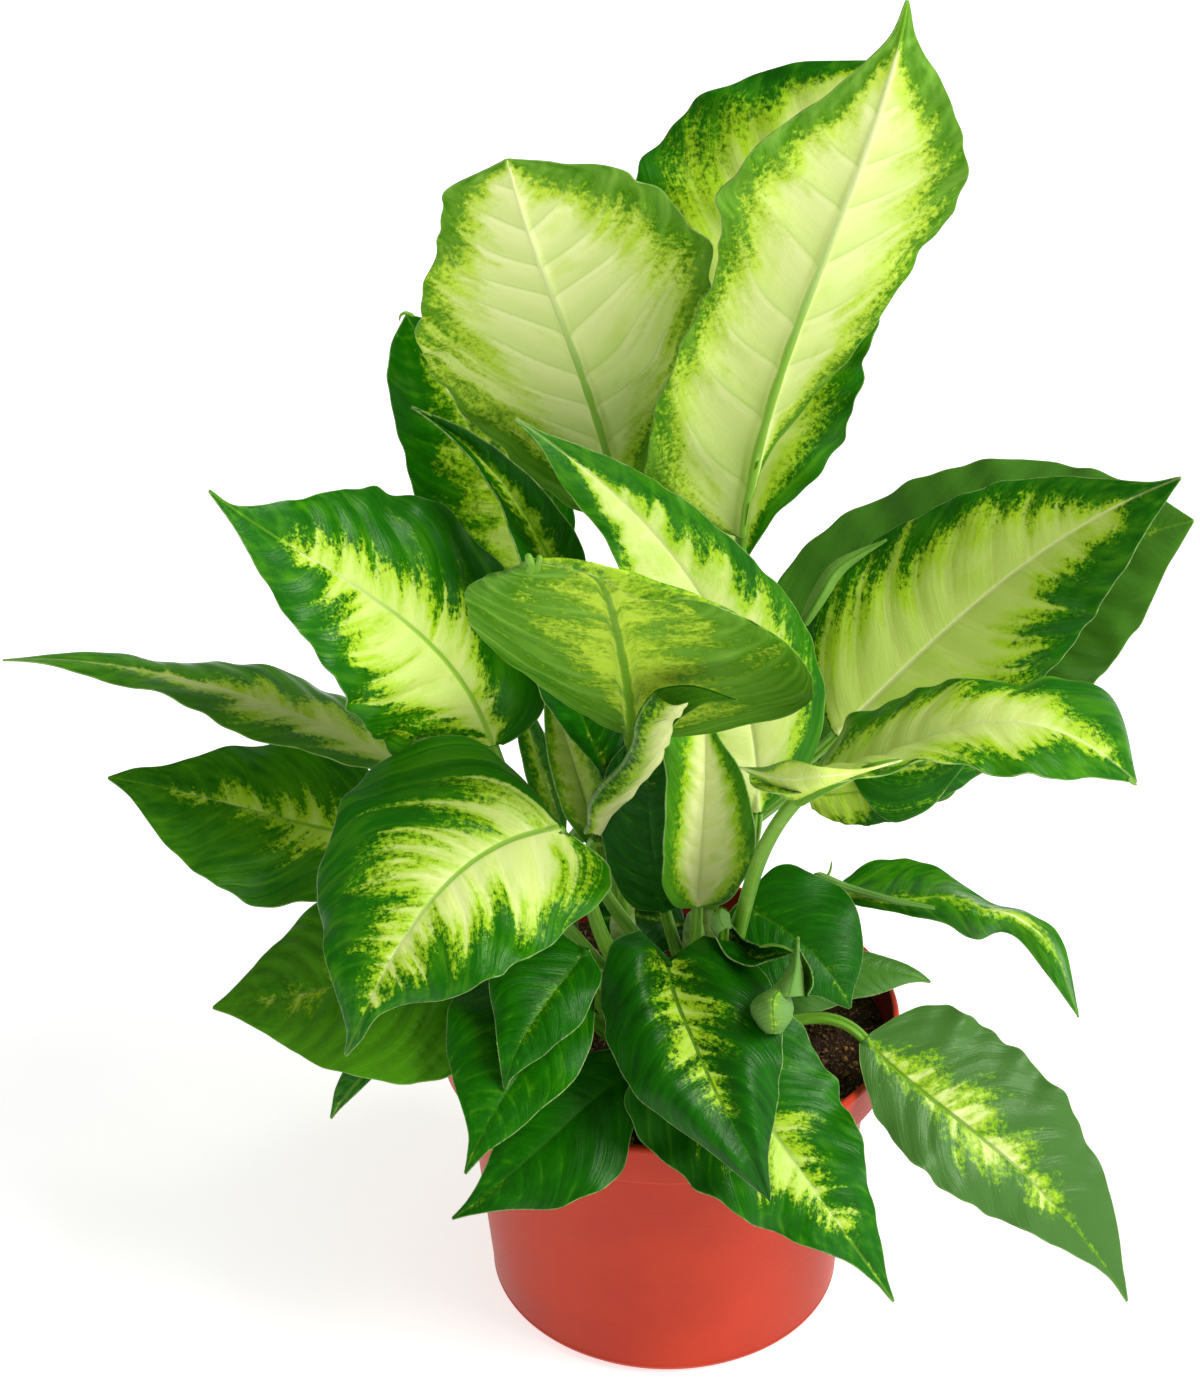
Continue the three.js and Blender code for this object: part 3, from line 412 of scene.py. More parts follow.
# Nets that the middle surface of a blade passes through, for leaves that roll or fold over. Each point
# is a column and row in the photo and how far, along y, it lies off the leaf's plain surface. In a
# "free" net the last number is y itself.
NETS = {
    "centre_bowed": {
        "stout": 2.3,
        "t": (0, 0.12, 0.3, 0.5, 0.68, 0.8, 0.88, 0.95, 1),
        "s": (-1, -0.85, -0.5, 0, 0.5, 1),
        "net": [
            [(634, 736, 0), (634, 736, 0), (633, 735, 0), (632, 735, 0), (631, 735, 0), (630, 736, 0)],
            [(694, 735, 3), (686, 733, 2), (662, 727, 0), (633, 714, -2), (616, 722, 0), (598, 723, 3)],
            [(792, 713, 10), (776, 711, 7), (712, 703, 0), (630, 680, -3), (586, 690, 0), (543, 688, 5)],
            [(813, 684, 12), (800, 683, 8), (727, 668, 0), (622, 640, -3), (550, 645, 0), (480, 637, 6)],
            [(781, 639, 6), (770, 636, 3), (706, 622, 0), (612, 602, -3), (528, 605, 0), (466, 603, 6)],
            [(704, 602, -3), (701, 597, 0), (655, 590, 0), (600, 578, 0), (530, 586, 0), (467, 588, 5)],
            [(640, 597, -6), (641, 578, 0), (612, 572, 0), (582, 567, 1), (531, 575, 1), (484, 577, 4)],
            [(591, 575, -5), (578, 561, 0), (570, 562, 1), (556, 563, 2), (528, 567, 2), (507, 570, 4)],
            [(532, 559, 2), (532, 559, 2), (531, 559, 2), (530, 559, 2), (529, 560, 2), (528, 560, 2)],
        ],
    },
    "centre_rolled": {
        "t": (0, 0.15, 0.33, 0.5, 0.65, 0.8, 0.92, 1),
        "s": (-1, -0.5, -0.1, 0.3, 0.65, 1),
        "inside": (-0.3, -0.3, -0.2, 0.05, 0.4, 0.5),
        "net": [
            [(597, 835, 1), (594, 834, 2), (589, 832, 0), (592, 833, -2), (597, 834, -2), (600, 836, 0)],
            [(610, 814, 2), (600, 808, 4), (588, 806, 0), (596, 812, -3), (605, 814, -4), (613, 815, -1)],
            [(636, 788, 3), (620, 786, 6), (600, 785, 0), (616, 795, -4), (629, 792, -6), (640, 787, -2)],
            [(656, 760, 4), (640, 762, 7), (621, 764, 0), (637, 770, -5), (651, 766, -7), (661, 759, -2)],
            [(664, 740, 5), (650, 741, 8), (633, 742, 0), (645, 746, -5), (659, 744, -8), (669, 740, -3)],
            [(676, 722, 6), (655, 722, 9), (636, 722, 0), (650, 725, -5), (664, 723, -8), (676, 719, -3)],
            [(706, 704, 6), (672, 702, 9), (645, 703, 0), (660, 714, -5), (673, 715, -8), (684, 710, -4)],
            [(737, 700, 2), (692, 686, 8), (656, 691, 2), (666, 703, -4), (677, 706, -7), (688, 703, -4)],
        ],
    },
    "front_curled": {
        "t": (0, 0.2, 0.42, 0.65, 0.85, 1),
        "net": [
            [(724, 913, 0), (723, 912, 0), (720, 912, 0), (717, 914, 0), (715, 916, 0)],
            [(731, 926, 2), (729, 922, 5), (722, 924, 5), (714, 925, 3), (711, 930, -2)],
            [(745, 939, 2), (745, 942, 6), (737, 948, 7), (730, 952, 4), (727, 955, -2)],
            [(763, 947, 2), (764, 950, 5), (758, 958, 6), (754, 962, 3), (751, 966, -2)],
            [(780, 945, 1), (781, 948, 3), (777, 954, 4), (775, 957, 2), (773, 960, -1)],
            [(796, 950, 0), (796, 951, 0), (796, 952, 0), (795, 953, 0), (794, 953, 0)],
        ],
    },
    "front_curled_cone": {
        "leaf": "front_curled", "stout": 0.3,
        "look": PAINTED_SHEEN_LOOK,
        "t": (0, 0.15, 0.4, 0.7, 1),
        "net": [
            [(798, 937, 0), (798, 937, 0), (798, 937, 0), (798, 937, 0), (798, 937, 0)],
            [(795, 953, 0), (796, 953, -1), (797, 954, -2), (798, 954, -2), (799, 954, 0)],
            [(788, 966, 1), (791, 968, -3), (795, 970, -5), (799, 971, -3), (801, 971, 0)],
            [(779, 981, 1), (784, 984, -4), (791, 986, -6), (798, 986, -4), (802, 986, 0)],
            [(768, 992, 1), (777, 996, -4), (788, 997, -6), (798, 996, -4), (803, 996, 0)],
        ],
    },
    "front_curled_loop": {
        "leaf": "front_curled", "stout": 0.3,
        "look": {
            "pale": (-0.6, -0.6),
            "tint": (0.5, 0.2),
            "mark": (-0.5, 0.0, 0.2),
            "frill": 0.1,
        },
        "t": (0, 0.15, 0.4, 0.7, 1),
        "net": [
            [(798, 945, 1), (798, 945, 1), (798, 945, 1), (798, 945, 1), (798, 945, 1)],
            [(799, 956, 1), (801, 957, 2), (802, 957, 2), (803, 957, 2), (804, 957, 1)],
            [(802, 970, 1), (804, 969, 4), (806, 969, 4), (809, 969, 3), (811, 970, 0)],
            [(803, 985, 1), (805, 984, 4), (808, 984, 4), (811, 984, 2), (813, 984, -1)],
            [(804, 996, 0), (805, 997, 1), (806, 997, 1), (807, 997, 0), (808, 995, -1)],
        ],
    },
    "front_curled_bulb": {
        "leaf": "front_curled", "stout": 0.3,
        "look": PAINTED_SHEEN_LOOK,
        "t": (0, 0.2, 0.5, 0.8, 1),
        "inside": (-0.5, -0.4, -0.06, -0.4, -0.5),
        "net": [
            [(777, 986, 1), (779, 987, -1), (782, 988, -2), (784, 988, -1), (786, 989, 1)],
            [(756, 998, 2), (763, 999, -5), (774, 999, -8), (785, 999, -5), (791, 999, 2)],
            [(751, 1010, 3), (760, 1012, -6), (773, 1012, -10), (786, 1010, -6), (793, 1009, 3)],
            [(757, 1025, 3), (765, 1026, -4), (774, 1026, -7), (784, 1023, -4), (791, 1019, 3)],
            [(764, 1032, 2), (769, 1033, -1), (774, 1033, -2), (779, 1033, -1), (783, 1031, 2)],
        ],
    },
    "right_arched_flap": {
        "leaf": "right_arched", "stout": 0.3, "free": True,
        "look": {
            "pale": ((0.3, 0.6, 1.0, 1.2, 1.2, 1.2), (0.3, 0.6, 1.0, 1.2, 1.2, 1.2)),
            "tint": (-0.6, 0.35),
            "mark": (0.6, 0.1, 0.0),
            "frill": 0.2,
        },
        "t": (0, 0.15, 0.4, 0.62, 0.85, 1),
        "net": [
            [(740, 767, -84), (740, 767, -84), (740, 767, -84), (740, 767, -84), (740, 767, -84)],
            [(764, 783, -93), (764, 779, -94), (764, 775, -94), (764, 771, -93), (764, 767, -92)],
            [(791, 800, -101), (790, 789, -102), (790, 779, -102), (790, 769, -101), (790, 760, -100)],
            [(822, 788, -107), (822, 782, -108), (822, 776, -108), (822, 771, -108), (822, 767, -107)],
            [(862, 773, -102), (862, 772, -103), (862, 771, -103), (862, 770, -103), (862, 769, -102)],
            [(903, 760, -99), (903, 760, -99), (903, 760, -99), (903, 760, -99), (903, 760, -99)],
        ],
    },
    "right_upper_strip": {
        "leaf": "right_upper", "stout": 0.3,
        "look": {
            "pale": (-0.6, -0.6),
            "tint": (-0.5, 0.2),
            "mark": (-1.0, 0.0, 0.2),
            "frill": 0.2,
            "relief": 0.01,
        },
        "t": (0, 0.3, 0.6, 1),
        "net": [
            [(808, 626, -2), (806, 626, -2), (803, 625, -3), (801, 624, -2), (799, 622, -2)],
            [(826, 600, -2), (823, 598, -4), (820, 596, -5), (816, 594, -4), (812, 592, -2)],
            [(846, 571, -2), (843, 569, -4), (840, 566, -5), (837, 564, -4), (834, 562, -2)],
            [(887, 540, -2), (887, 540, -2), (887, 539, -2), (887, 539, -2), (887, 539, -2)],
        ],
    },
    "right_narrow_strip": {
        "leaf": "right_narrow", "stout": 0.3,
        "look": PAINTED_SHEEN_LOOK,
        "t": (0, 0.1, 0.3, 0.6, 1),
        "net": [
            [(815, 876, -5), (814, 876, -5), (814, 875, -5), (814, 874, -5), (815, 874, -5)],
            [(821, 879, -5), (821, 877, -6), (821, 876, -7), (821, 874, -6), (822, 873, -5)],
            [(848, 891, -5), (848, 889, -6), (848, 887, -6), (848, 885, -6), (848, 884, -5)],
            [(888, 902, -5), (888, 900, -6), (888, 899, -6), (888, 897, -6), (888, 896, -5)],
            [(935, 909, -4), (935, 909, -4), (935, 908, -4), (935, 908, -4), (935, 907, -4)],
        ],
    },
    "front_curled_roll": {
        "leaf": "front_curled", "stout": 0.3,
        "look": PAINTED_SHEEN_LOOK,
        "t": (0, 0.3, 0.65, 1),
        "net": [
            [(719, 909, -2), (721, 909, -2), (722, 909, -2), (723, 909, -2), (725, 910, -2)],
            [(712, 916, -1), (715, 914, -3), (719, 913, -4), (724, 913, -3), (729, 914, -1)],
            [(711, 925, -2), (715, 922, -4), (720, 920, -5), (725, 920, -4), (730, 922, -2)],
            [(718, 937, -2), (720, 932, -4), (724, 929, -5), (727, 928, -4), (731, 929, -2)],
        ],
    },
    "right_upper_lobe": {
        "leaf": "right_upper", "stout": 0.3,
        "look": {
            "pale": ((1.3, 1.2, 0.7, 0.0, -0.5, -0.5), (1.2, 1.1, 0.5, 0.0, -0.5, -0.5)),
            "tint": (0.5, 0.1),
            "mark": (0.0, 0.4, 0.6),
        },
        "t": (0, 0.2, 0.45, 0.7, 0.9, 1),
        "net": [
            [(806, 780, 3), (806, 786, 3), (807, 793, 3), (809, 800, 3), (811, 808, 3)],
            [(828, 768, 3), (829, 782, 2), (830, 795, 2), (832, 808, 2), (834, 821, 3)],
            [(865, 758, 3), (866, 774, 2), (867, 790, 1), (869, 807, 2), (871, 825, 3)],
            [(905, 752, 3), (907, 766, 2), (910, 782, 1), (912, 797, 2), (915, 813, 3)],
            [(942, 752, 3), (944, 762, 2), (947, 771, 2), (951, 781, 2), (955, 791, 3)],
            [(972, 760, 3), (973, 763, 3), (974, 767, 3), (975, 771, 3), (976, 776, 3)],
        ],
    },
    "front_middle": {
        "t": (0, 0.1, 0.25, 0.45, 0.65, 0.82, 0.94, 1),
        "net": [
            [(701, 935, -2), (684, 948, -3), (666, 961, 0), (652, 943, -8), (641, 928, -11)],
            [(743, 947, 0), (705, 960, -4), (669, 972, 0), (640, 954, -9), (613, 944, -8)],
            [(768, 984, 2), (722, 988, -4), (676, 999, 0), (638, 988, -6), (601, 985, -4)],
            [(781, 1032, 3), (736, 1030, -3), (692, 1038, 0), (648, 1036, -3), (606, 1030, 1)],
            [(780, 1084, 2), (746, 1074, -2), (711, 1082, 0), (668, 1084, -2), (627, 1084, 2)],
            [(774, 1122, 1), (753, 1116, -1), (731, 1122, 0), (699, 1124, -1), (669, 1122, 1)],
            [(768, 1156, 1), (761, 1160, -1), (753, 1163, 0), (739, 1164, -1), (725, 1164, 1)],
            [(771, 1200, 0), (770, 1200, 0), (770, 1201, 0), (769, 1200, 0), (769, 1200, 0)],
        ],
    },
    "right_narrow": {
        "t": (0, 0.12, 0.3, 0.5, 0.65, 0.8, 0.92, 1),
        "net": [
            [(838, 892, 1), (837, 892, 1), (836, 893, 0), (836, 894, 0), (836, 895, 0)],
            [(848, 876, 4), (853, 886, 2), (856, 896, -2), (852, 899, 0), (846, 903, 0)],
            [(890, 858, 8), (897, 878, 4), (902, 899, -4), (896, 904, -2), (888, 911, 1)],
            [(945, 872, 8), (948, 885, 4), (950, 897, -4), (946, 908, -2), (942, 923, 2)],
            [(990, 903, 6), (988, 905, 3), (984, 909, -4), (980, 922, -2), (976, 939, 2)],
            [(1034, 915, 4), (1028, 916, 1), (1021, 920, -3), (1016, 926, -2), (1011, 934, 1)],
            [(1064, 946, 3), (1060, 950, 1), (1056, 957, -2), (1052, 966, -1), (1048, 976, 1)],
            [(1079, 1017, 0), (1079, 1017, 0), (1078, 1017, 0), (1078, 1017, 0), (1077, 1016, 0)],
        ],
    },
}

# Thin pieces on a leaf: the leaf, the radius at both ends, and points as in a net.
SPURS = {
    "petiole_ridge": (
        "right_arched", (2.2, 0.9),
        [(796, 803, -4), (811, 795, -8), (840, 781, -8), (872, 767, -7), (905, 760, -5)],
    ),
    "curl_tip": (
        "centre_bowed", (1.0, 1.6),
        [(527, 554, -1), (530, 560, -3), (533, 566, -3), (530, 571, -2)],
    ),
    "curl_tip_side": (
        "centre_bowed", (0.9, 1.4),
        [(540, 556, -1), (538, 563, -3), (536, 570, -2)],
    ),
    "curled_spike": (
        "front_curled", (0.35, 0.7),
        [(798, 936, 0), (798, 944, 0), (797, 953, -1)],
    ),
    "curled_line": (
        "front_curled", (0.5, 0.4),
        [(759, 947, -2), (771, 945, -2), (783, 947, -2), (796, 953, -1)],
    ),
    "narrow_hair": (
        "right_narrow", (0.3, 0.8),
        [(832, 861, -4), (830, 871, -4), (825, 880, -4), (820, 888, -4)],
    ),
    "behind_hook": (
        "left_behind", (0.8, 0.3),
        [(414, 316, 0), (406, 313, 0), (401, 315, 0), (399, 321, 0)],
    ),
    "arched_hair": (
        "right_arched", (0.8, 0.3),
        [(1128, 778, -1), (1133, 783, -1), (1137, 785, -1)],
    ),
    "folded_hair": (
        "left_folded", (0.7, 0.3),
        [(432, 416, 0), (424, 412, 0), (417, 410, 0)],
    ),
}

# ---------------------------------------------------------------- curves


def unit(v):
    v = np.asarray(v, float)
    return v / np.maximum(np.linalg.norm(v, axis=-1, keepdims=True), 1e-12)


def hermite(u, a, b, slope_a, slope_b):
    """From a to b as u goes from 0 to 1, with the slopes given at both ends."""
    return (
        (2 * u**3 - 3 * u**2 + 1) * a
        + (u**3 - 2 * u**2 + u) * slope_a
        + (3 * u**2 - 2 * u**3) * b
        + (u**3 - u**2) * slope_b
    )


def through(xs, ys, x):
    """A smooth curve through values at unevenly spaced stations."""
    xs, ys, x = (np.asarray(a, float) for a in (xs, ys, x))
    slope = np.gradient(ys, xs)
    slope[1:-1] = (ys[2:] - ys[:-2]) / (xs[2:] - xs[:-2])
    i = np.clip(np.searchsorted(xs, x, side="right") - 1, 0, len(xs) - 2)
    h = xs[i + 1] - xs[i]
    u = (x - xs[i]) / h
    return hermite(u, ys[i], ys[i + 1], h * slope[i], h * slope[i + 1])


def bezier(c, t):
    t = np.asarray(t, float)[..., None]
    p = (1 - t) ** 3 * c[0] + 3 * (1 - t) ** 2 * t * c[1] + 3 * (1 - t) * t * t * c[2] + t**3 * c[3]
    d = (1 - t) ** 2 * (c[1] - c[0]) + 2 * (1 - t) * t * (c[2] - c[1]) + t * t * (c[3] - c[2])
    return p, unit(d)


def run_along(points):
    """How far each point lies along the line through the points."""
    steps = np.linalg.norm(np.diff(points, axis=0), axis=1)
    return np.concatenate([[0], np.cumsum(steps)])


def rib_points(points):
    p = np.asarray(points, float)
    return np.array([p[0], np.array([-5, 18, -9, 2]) @ p / 6, np.array([2, -9, 18, -5]) @ p / 6, p[3]])


def cane_point(cane, t):
    """The centripetal spline through a cane's three points."""
    a, b, c = (np.asarray(p, float) for p in CANES[cane][0])
    p = [2 * a - b, a, b, c] if t < 0.5 else [a, b, c, 2 * c - b]
    u = 2 * t if t < 0.5 else 2 * t - 1
    d = [np.linalg.norm(p[i + 1] - p[i]) ** 0.5 for i in range(3)]
    m1 = ((p[1] - p[0]) / d[0] - (p[2] - p[0]) / (d[0] + d[1]) + (p[2] - p[1]) / d[1]) * d[1]
    m2 = ((p[2] - p[1]) / d[1] - (p[3] - p[1]) / (d[1] + d[2]) + (p[3] - p[2]) / d[2]) * d[1]
    return hermite(u, p[1], p[2], m1, m2)


def half_widths(leaf, side, t):
    width = leaf[side]
    given = [part * width for part in PLAIN] if np.isscalar(width) else list(width)
    return through(STATIONS, [2.0, *given, 0.5], t)


def upright(normal, along):
    return unit(normal - (normal * along).sum(-1, keepdims=True) * along)


def pick(leaf, key, usual, s):
    left, right = leaf.get(key, (usual, usual))
    return np.where(s < 0, left, right)


def blade_surface(leaf, t, s):
    """The blade's middle surface and its half width: t from base to tip, s from left to right margin."""
    t, s = np.broadcast_arrays(np.asarray(t, float), np.asarray(s, float))
    point, along = bezier(rib_points(leaf["rib"]), t)
    face, tip = unit(leaf["face"]), unit(leaf.get("face_tip", leaf["face"]))
    normal = upright(face + (tip - face) * t[..., None], along)
    across = np.cross(along, normal)
    width = np.where(s < 0, half_widths(leaf, "left", t), half_widths(leaf, "right", t))
    fold = leaf.get("fold", (10, 10))
    left, right = leaf.get("fold_left", fold), leaf.get("fold_right", fold)
    slope = np.where(s < 0, left[0] + (left[1] - left[0]) * t, right[0] + (right[1] - right[0]) * t)
    curl = pick(leaf, "curl", 20, s)
    out = np.abs(s)
    aside, rise = np.zeros_like(out), np.zeros_like(out)
    for k in range(6):
        angle = np.radians(slope - curl * out * (k + 0.5) / 6)
        aside += np.cos(angle) * out / 6
        rise += np.sin(angle) * out / 6
    lobe = pick(leaf, "lobe", 0.25, s) * width * out**2 * np.clip(1 - 2 * t, 0, 1) ** 2
    wave = leaf.get("wave", 0) * out**2 * np.sin(math.pi * t)
    wave = wave * np.sin(2 * math.pi * (2.5 * t + 0.17 * np.sign(s)))
    point = point + across * (np.sign(s) * aside * width)[..., None]
    point = point + normal * (rise * width + wave)[..., None] - along * lobe[..., None]
    return point, width


def spline(knots, points, x):
    """A smooth curve of points through rows given at knots."""
    flat = np.asarray(points, float).reshape(len(knots), -1)
    curves = np.stack([through(knots, column, x) for column in flat.T], -1)
    return curves.reshape(len(x), *np.shape(points)[1:])


def laid_on(leaf, offsets):
    """Turns the last number of each point from a depth off the leaf's plain surface into y."""
    t, s = np.meshgrid(np.linspace(0, 1, 80), np.linspace(-1, 1, 60), indexing="ij")
    surface = blade_surface(leaf, t, s)[0].reshape(-1, 3)
    place_in_photo = shown(surface)
    pixels = np.array(offsets, float)
    for pixel in pixels.reshape(-1, 3):
        distance = ((place_in_photo - pixel[:2]) ** 2).sum(-1)
        near = np.argsort(distance)[:9]
        weight = 1 / (distance[near] + 4)
        pixel[2] += (surface[near, 1] * weight).sum() / weight.sum()
    return pixels


def net_surface(net, leaf, t, s):
    """A blade whose middle surface passes through a net of points. t and s are its rows and columns."""
    pixels = net["net"] if net.get("free") else laid_on(leaf, net["net"])
    lengthwise = spline(net["t"], seen(pixels), t)
    crosswise = spline(net.get("s", NET_COLUMNS), np.swapaxes(lengthwise, 0, 1), s)
    point = np.swapaxes(crosswise, 0, 1)
    steps = np.linalg.norm(np.diff(point, axis=1), axis=-1)
    left, right = steps[:, s[:-1] < 0].sum(1), steps[:, s[:-1] >= 0].sum(1)
    return point, np.where(s[None] < 0, left[:, None], right[:, None])


def smooth(a, b, x):
    u = np.clip((x - a) / (b - a), 0, 1)
    return u * u * (3 - 2 * u)


# ---------------------------------------------------------------- making pieces


def make_object(name, points, faces, kinds=None, materials=(), attributes=None):
    """A mesh from points in millimetres. kinds gives each face's material slot."""
    mesh = bpy.data.meshes.new(name)
    loops = [i for face in faces for i in face] if isinstance(faces, list) else faces.ravel()
    sizes = [len(face) for face in faces]
    mesh.vertices.add(len(points))
    mesh.vertices.foreach_set("co", (np.asarray(points, np.float32) * MM).ravel())
    mesh.loops.add(len(loops))
    mesh.loops.foreach_set("vertex_index", np.asarray(loops, np.int32))
    mesh.polygons.add(len(sizes))
    mesh.polygons.foreach_set("loop_start", np.concatenate([[0], np.cumsum(sizes)[:-1]]).astype(np.int32))
    if kinds is not None:
        mesh.polygons.foreach_set("material_index", np.asarray(kinds, np.int32))
    mesh.polygons.foreach_set("use_smooth", np.ones(len(sizes), bool))
    for key, values in (attributes or {}).items():
        layer = mesh.attributes.new(key, "FLOAT_VECTOR", "POINT")
        layer.data.foreach_set("vector", np.asarray(values, np.float32).ravel())
    mesh.update(calc_edges=True)
    mesh.validate()
    obj = bpy.data.objects.new(name, mesh)
    bpy.context.scene.collection.objects.link(obj)
    for material in materials:
        mesh.materials.append(material)
    return obj


def place(obj, slot, *nodes):
    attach(obj, "root")
    if nodes:
        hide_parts(*nodes)
    return obj


def tube_faces(rings, around):
    """Quads between successive closed rings of points."""
    i, j = np.meshgrid(np.arange(rings - 1), np.arange(around), indexing="ij")
    k = (j + 1) % around
    quads = np.stack([i * around + j, i * around + k, (i + 1) * around + k, (i + 1) * around + j], -1)
    return quads.reshape(-1, 4)


def closed_tube(rings, around, flip=False):
    """Faces of a tube through rings of points, with both ends closed."""
    faces = [list(face) for face in tube_faces(rings, around)]
    faces.append(list(range(around - 1, -1, -1)))
    faces.append(list(range((rings - 1) * around, rings * around)))
    return [face[::-1] for face in faces] if flip else faces


def round_angles(count):
    """Angles of points spread evenly round a circle."""
    return np.linspace(0, 2 * math.pi, count, endpoint=False)


def circle(angle, r, z):
    return np.stack([r * np.cos(angle), r * np.sin(angle), np.full(len(angle), z)], -1)


def tube_ring(centre, side, normal, r, angle):
    """A ring of a tube: points round its centre in the plane of side and normal."""
    return centre + np.outer(r * np.cos(angle), side) + np.outer(r * np.sin(angle), normal)


# ---------------------------------------------------------------- materials


def srgb(r, g, b, a=1.0):
    def linear(c):
        c /= 255
        return c / 12.92 if c <= 0.04045 else ((c + 0.055) / 1.055) ** 2.4

    return (linear(r), linear(g), linear(b), a)


class Shader:
    """Short calls for building a material's nodes."""

    def __init__(self, name):
        self.material = bpy.data.materials.new(name)
        self.material.use_nodes = True
        self.tree = self.material.node_tree
        self.tree.nodes.clear()
        self.output = self.tree.nodes.new("ShaderNodeOutputMaterial")
        self.surface = self.tree.nodes.new("ShaderNodeBsdfPrincipled")
        self.link(self.surface.outputs[0], self.output.inputs["Surface"])

    def link(self, source, target):
        self.tree.links.new(source, target)

    def put(self, socket, value):
        if isinstance(value, bpy.types.NodeSocket):
            self.link(value, socket)
        else:
            socket.default_value = value

    def attribute(self, name):
        node = self.tree.nodes.new("ShaderNodeAttribute")
        node.attribute_name = name
        return self.parts(node.outputs["Vector"])

    def coordinates(self):
        node = self.tree.nodes.new("ShaderNodeTexCoord")
        return node.outputs["Object"]

    def parts(self, vector):
        split = self.tree.nodes.new("ShaderNodeSeparateXYZ")
        self.link(vector, split.inputs[0])
        return split.outputs[0], split.outputs[1], split.outputs[2]

    def vector(self, x, y, z=0.0):
        node = self.tree.nodes.new("ShaderNodeCombineXYZ")
        for socket, value in zip(node.inputs, (x, y, z)):
            self.put(socket, value)
        return node.outputs[0]

    def math(self, operation, a, b=0.0):
        node = self.tree.nodes.new("ShaderNodeMath")
        node.operation = operation
        self.put(node.inputs[0], a)
        self.put(node.inputs[1], b)
        return node.outputs[0]

    def add(self, a, b):
        return self.math("ADD", a, b)

    def times(self, a, b):
        return self.math("MULTIPLY", a, b)

    def span(self, value, low, high, to_low=0.0, to_high=1.0, soft=True):
        node = self.tree.nodes.new("ShaderNodeMapRange")
        node.interpolation_type = "SMOOTHSTEP" if soft else "LINEAR"
        for socket, v in zip(node.inputs, (value, low, high, to_low, to_high)):
            self.put(socket, v)
        return node.outputs[0]

    def noise(self, vector, scale, detail=2.0, rough=0.5):
        """Noise about 0, mostly between -1 and 1."""
        node = self.tree.nodes.new("ShaderNodeTexNoise")
        self.put(node.inputs["Vector"], vector)
        node.inputs["Scale"].default_value = scale
        node.inputs["Detail"].default_value = detail
        node.inputs["Roughness"].default_value = rough
        return self.span(node.outputs[0], 0.25, 0.75, -1.0, 1.0, soft=False)

    def mix(self, factor, a, b):
        node = self.tree.nodes.new("ShaderNodeMix")
        node.data_type = "RGBA"
        self.put(node.inputs[0], factor)
        self.put(node.inputs[6], a)
        self.put(node.inputs[7], b)
        return node.outputs[2]

    def bump(self, height, strength, distance):
        node = self.tree.nodes.new("ShaderNodeBump")
        node.inputs["Strength"].default_value = strength
        node.inputs["Distance"].default_value = distance
        self.link(height, node.inputs["Height"])
        self.link(node.outputs[0], self.surface.inputs["Normal"])

    def finish(self, color, roughness, specular=0.5):
        self.put(self.surface.inputs["Base Color"], color)
        self.put(self.surface.inputs["Roughness"], roughness)
        self.surface.inputs["Specular IOR Level"].default_value = specular
        return self.material


UPPER = {
    "light": srgb(78, 146, 14), "green": srgb(22, 98, 0), "dark": srgb(1, 54, 0), "bright": srgb(92, 160, 6),
    "yellow": srgb(164, 202, 34), "cream": srgb(224, 230, 160), "rib": srgb(128, 178, 40),
    "edge": srgb(176, 202, 124), "painted_sheen": srgb(66, 106, 48), "vein_and_quilt_shade": srgb(206, 222, 110),
}
# The underside's cream is partly its own colour and partly painted light: set brighter to stand in for light
# shining through the blade into its shade.
UNDER = {
    "light": srgb(128, 178, 62), "green": srgb(66, 126, 10), "dark": srgb(26, 86, 4),
    "bright": srgb(122, 172, 26), "yellow": srgb(188, 218, 62),
    "cream": srgb(248, 252, 186), "rib": srgb(124, 182, 34),
    "edge": srgb(150, 184, 92), "painted_sheen": srgb(100, 142, 76), "vein_and_quilt_shade": srgb(176, 208, 84),
}


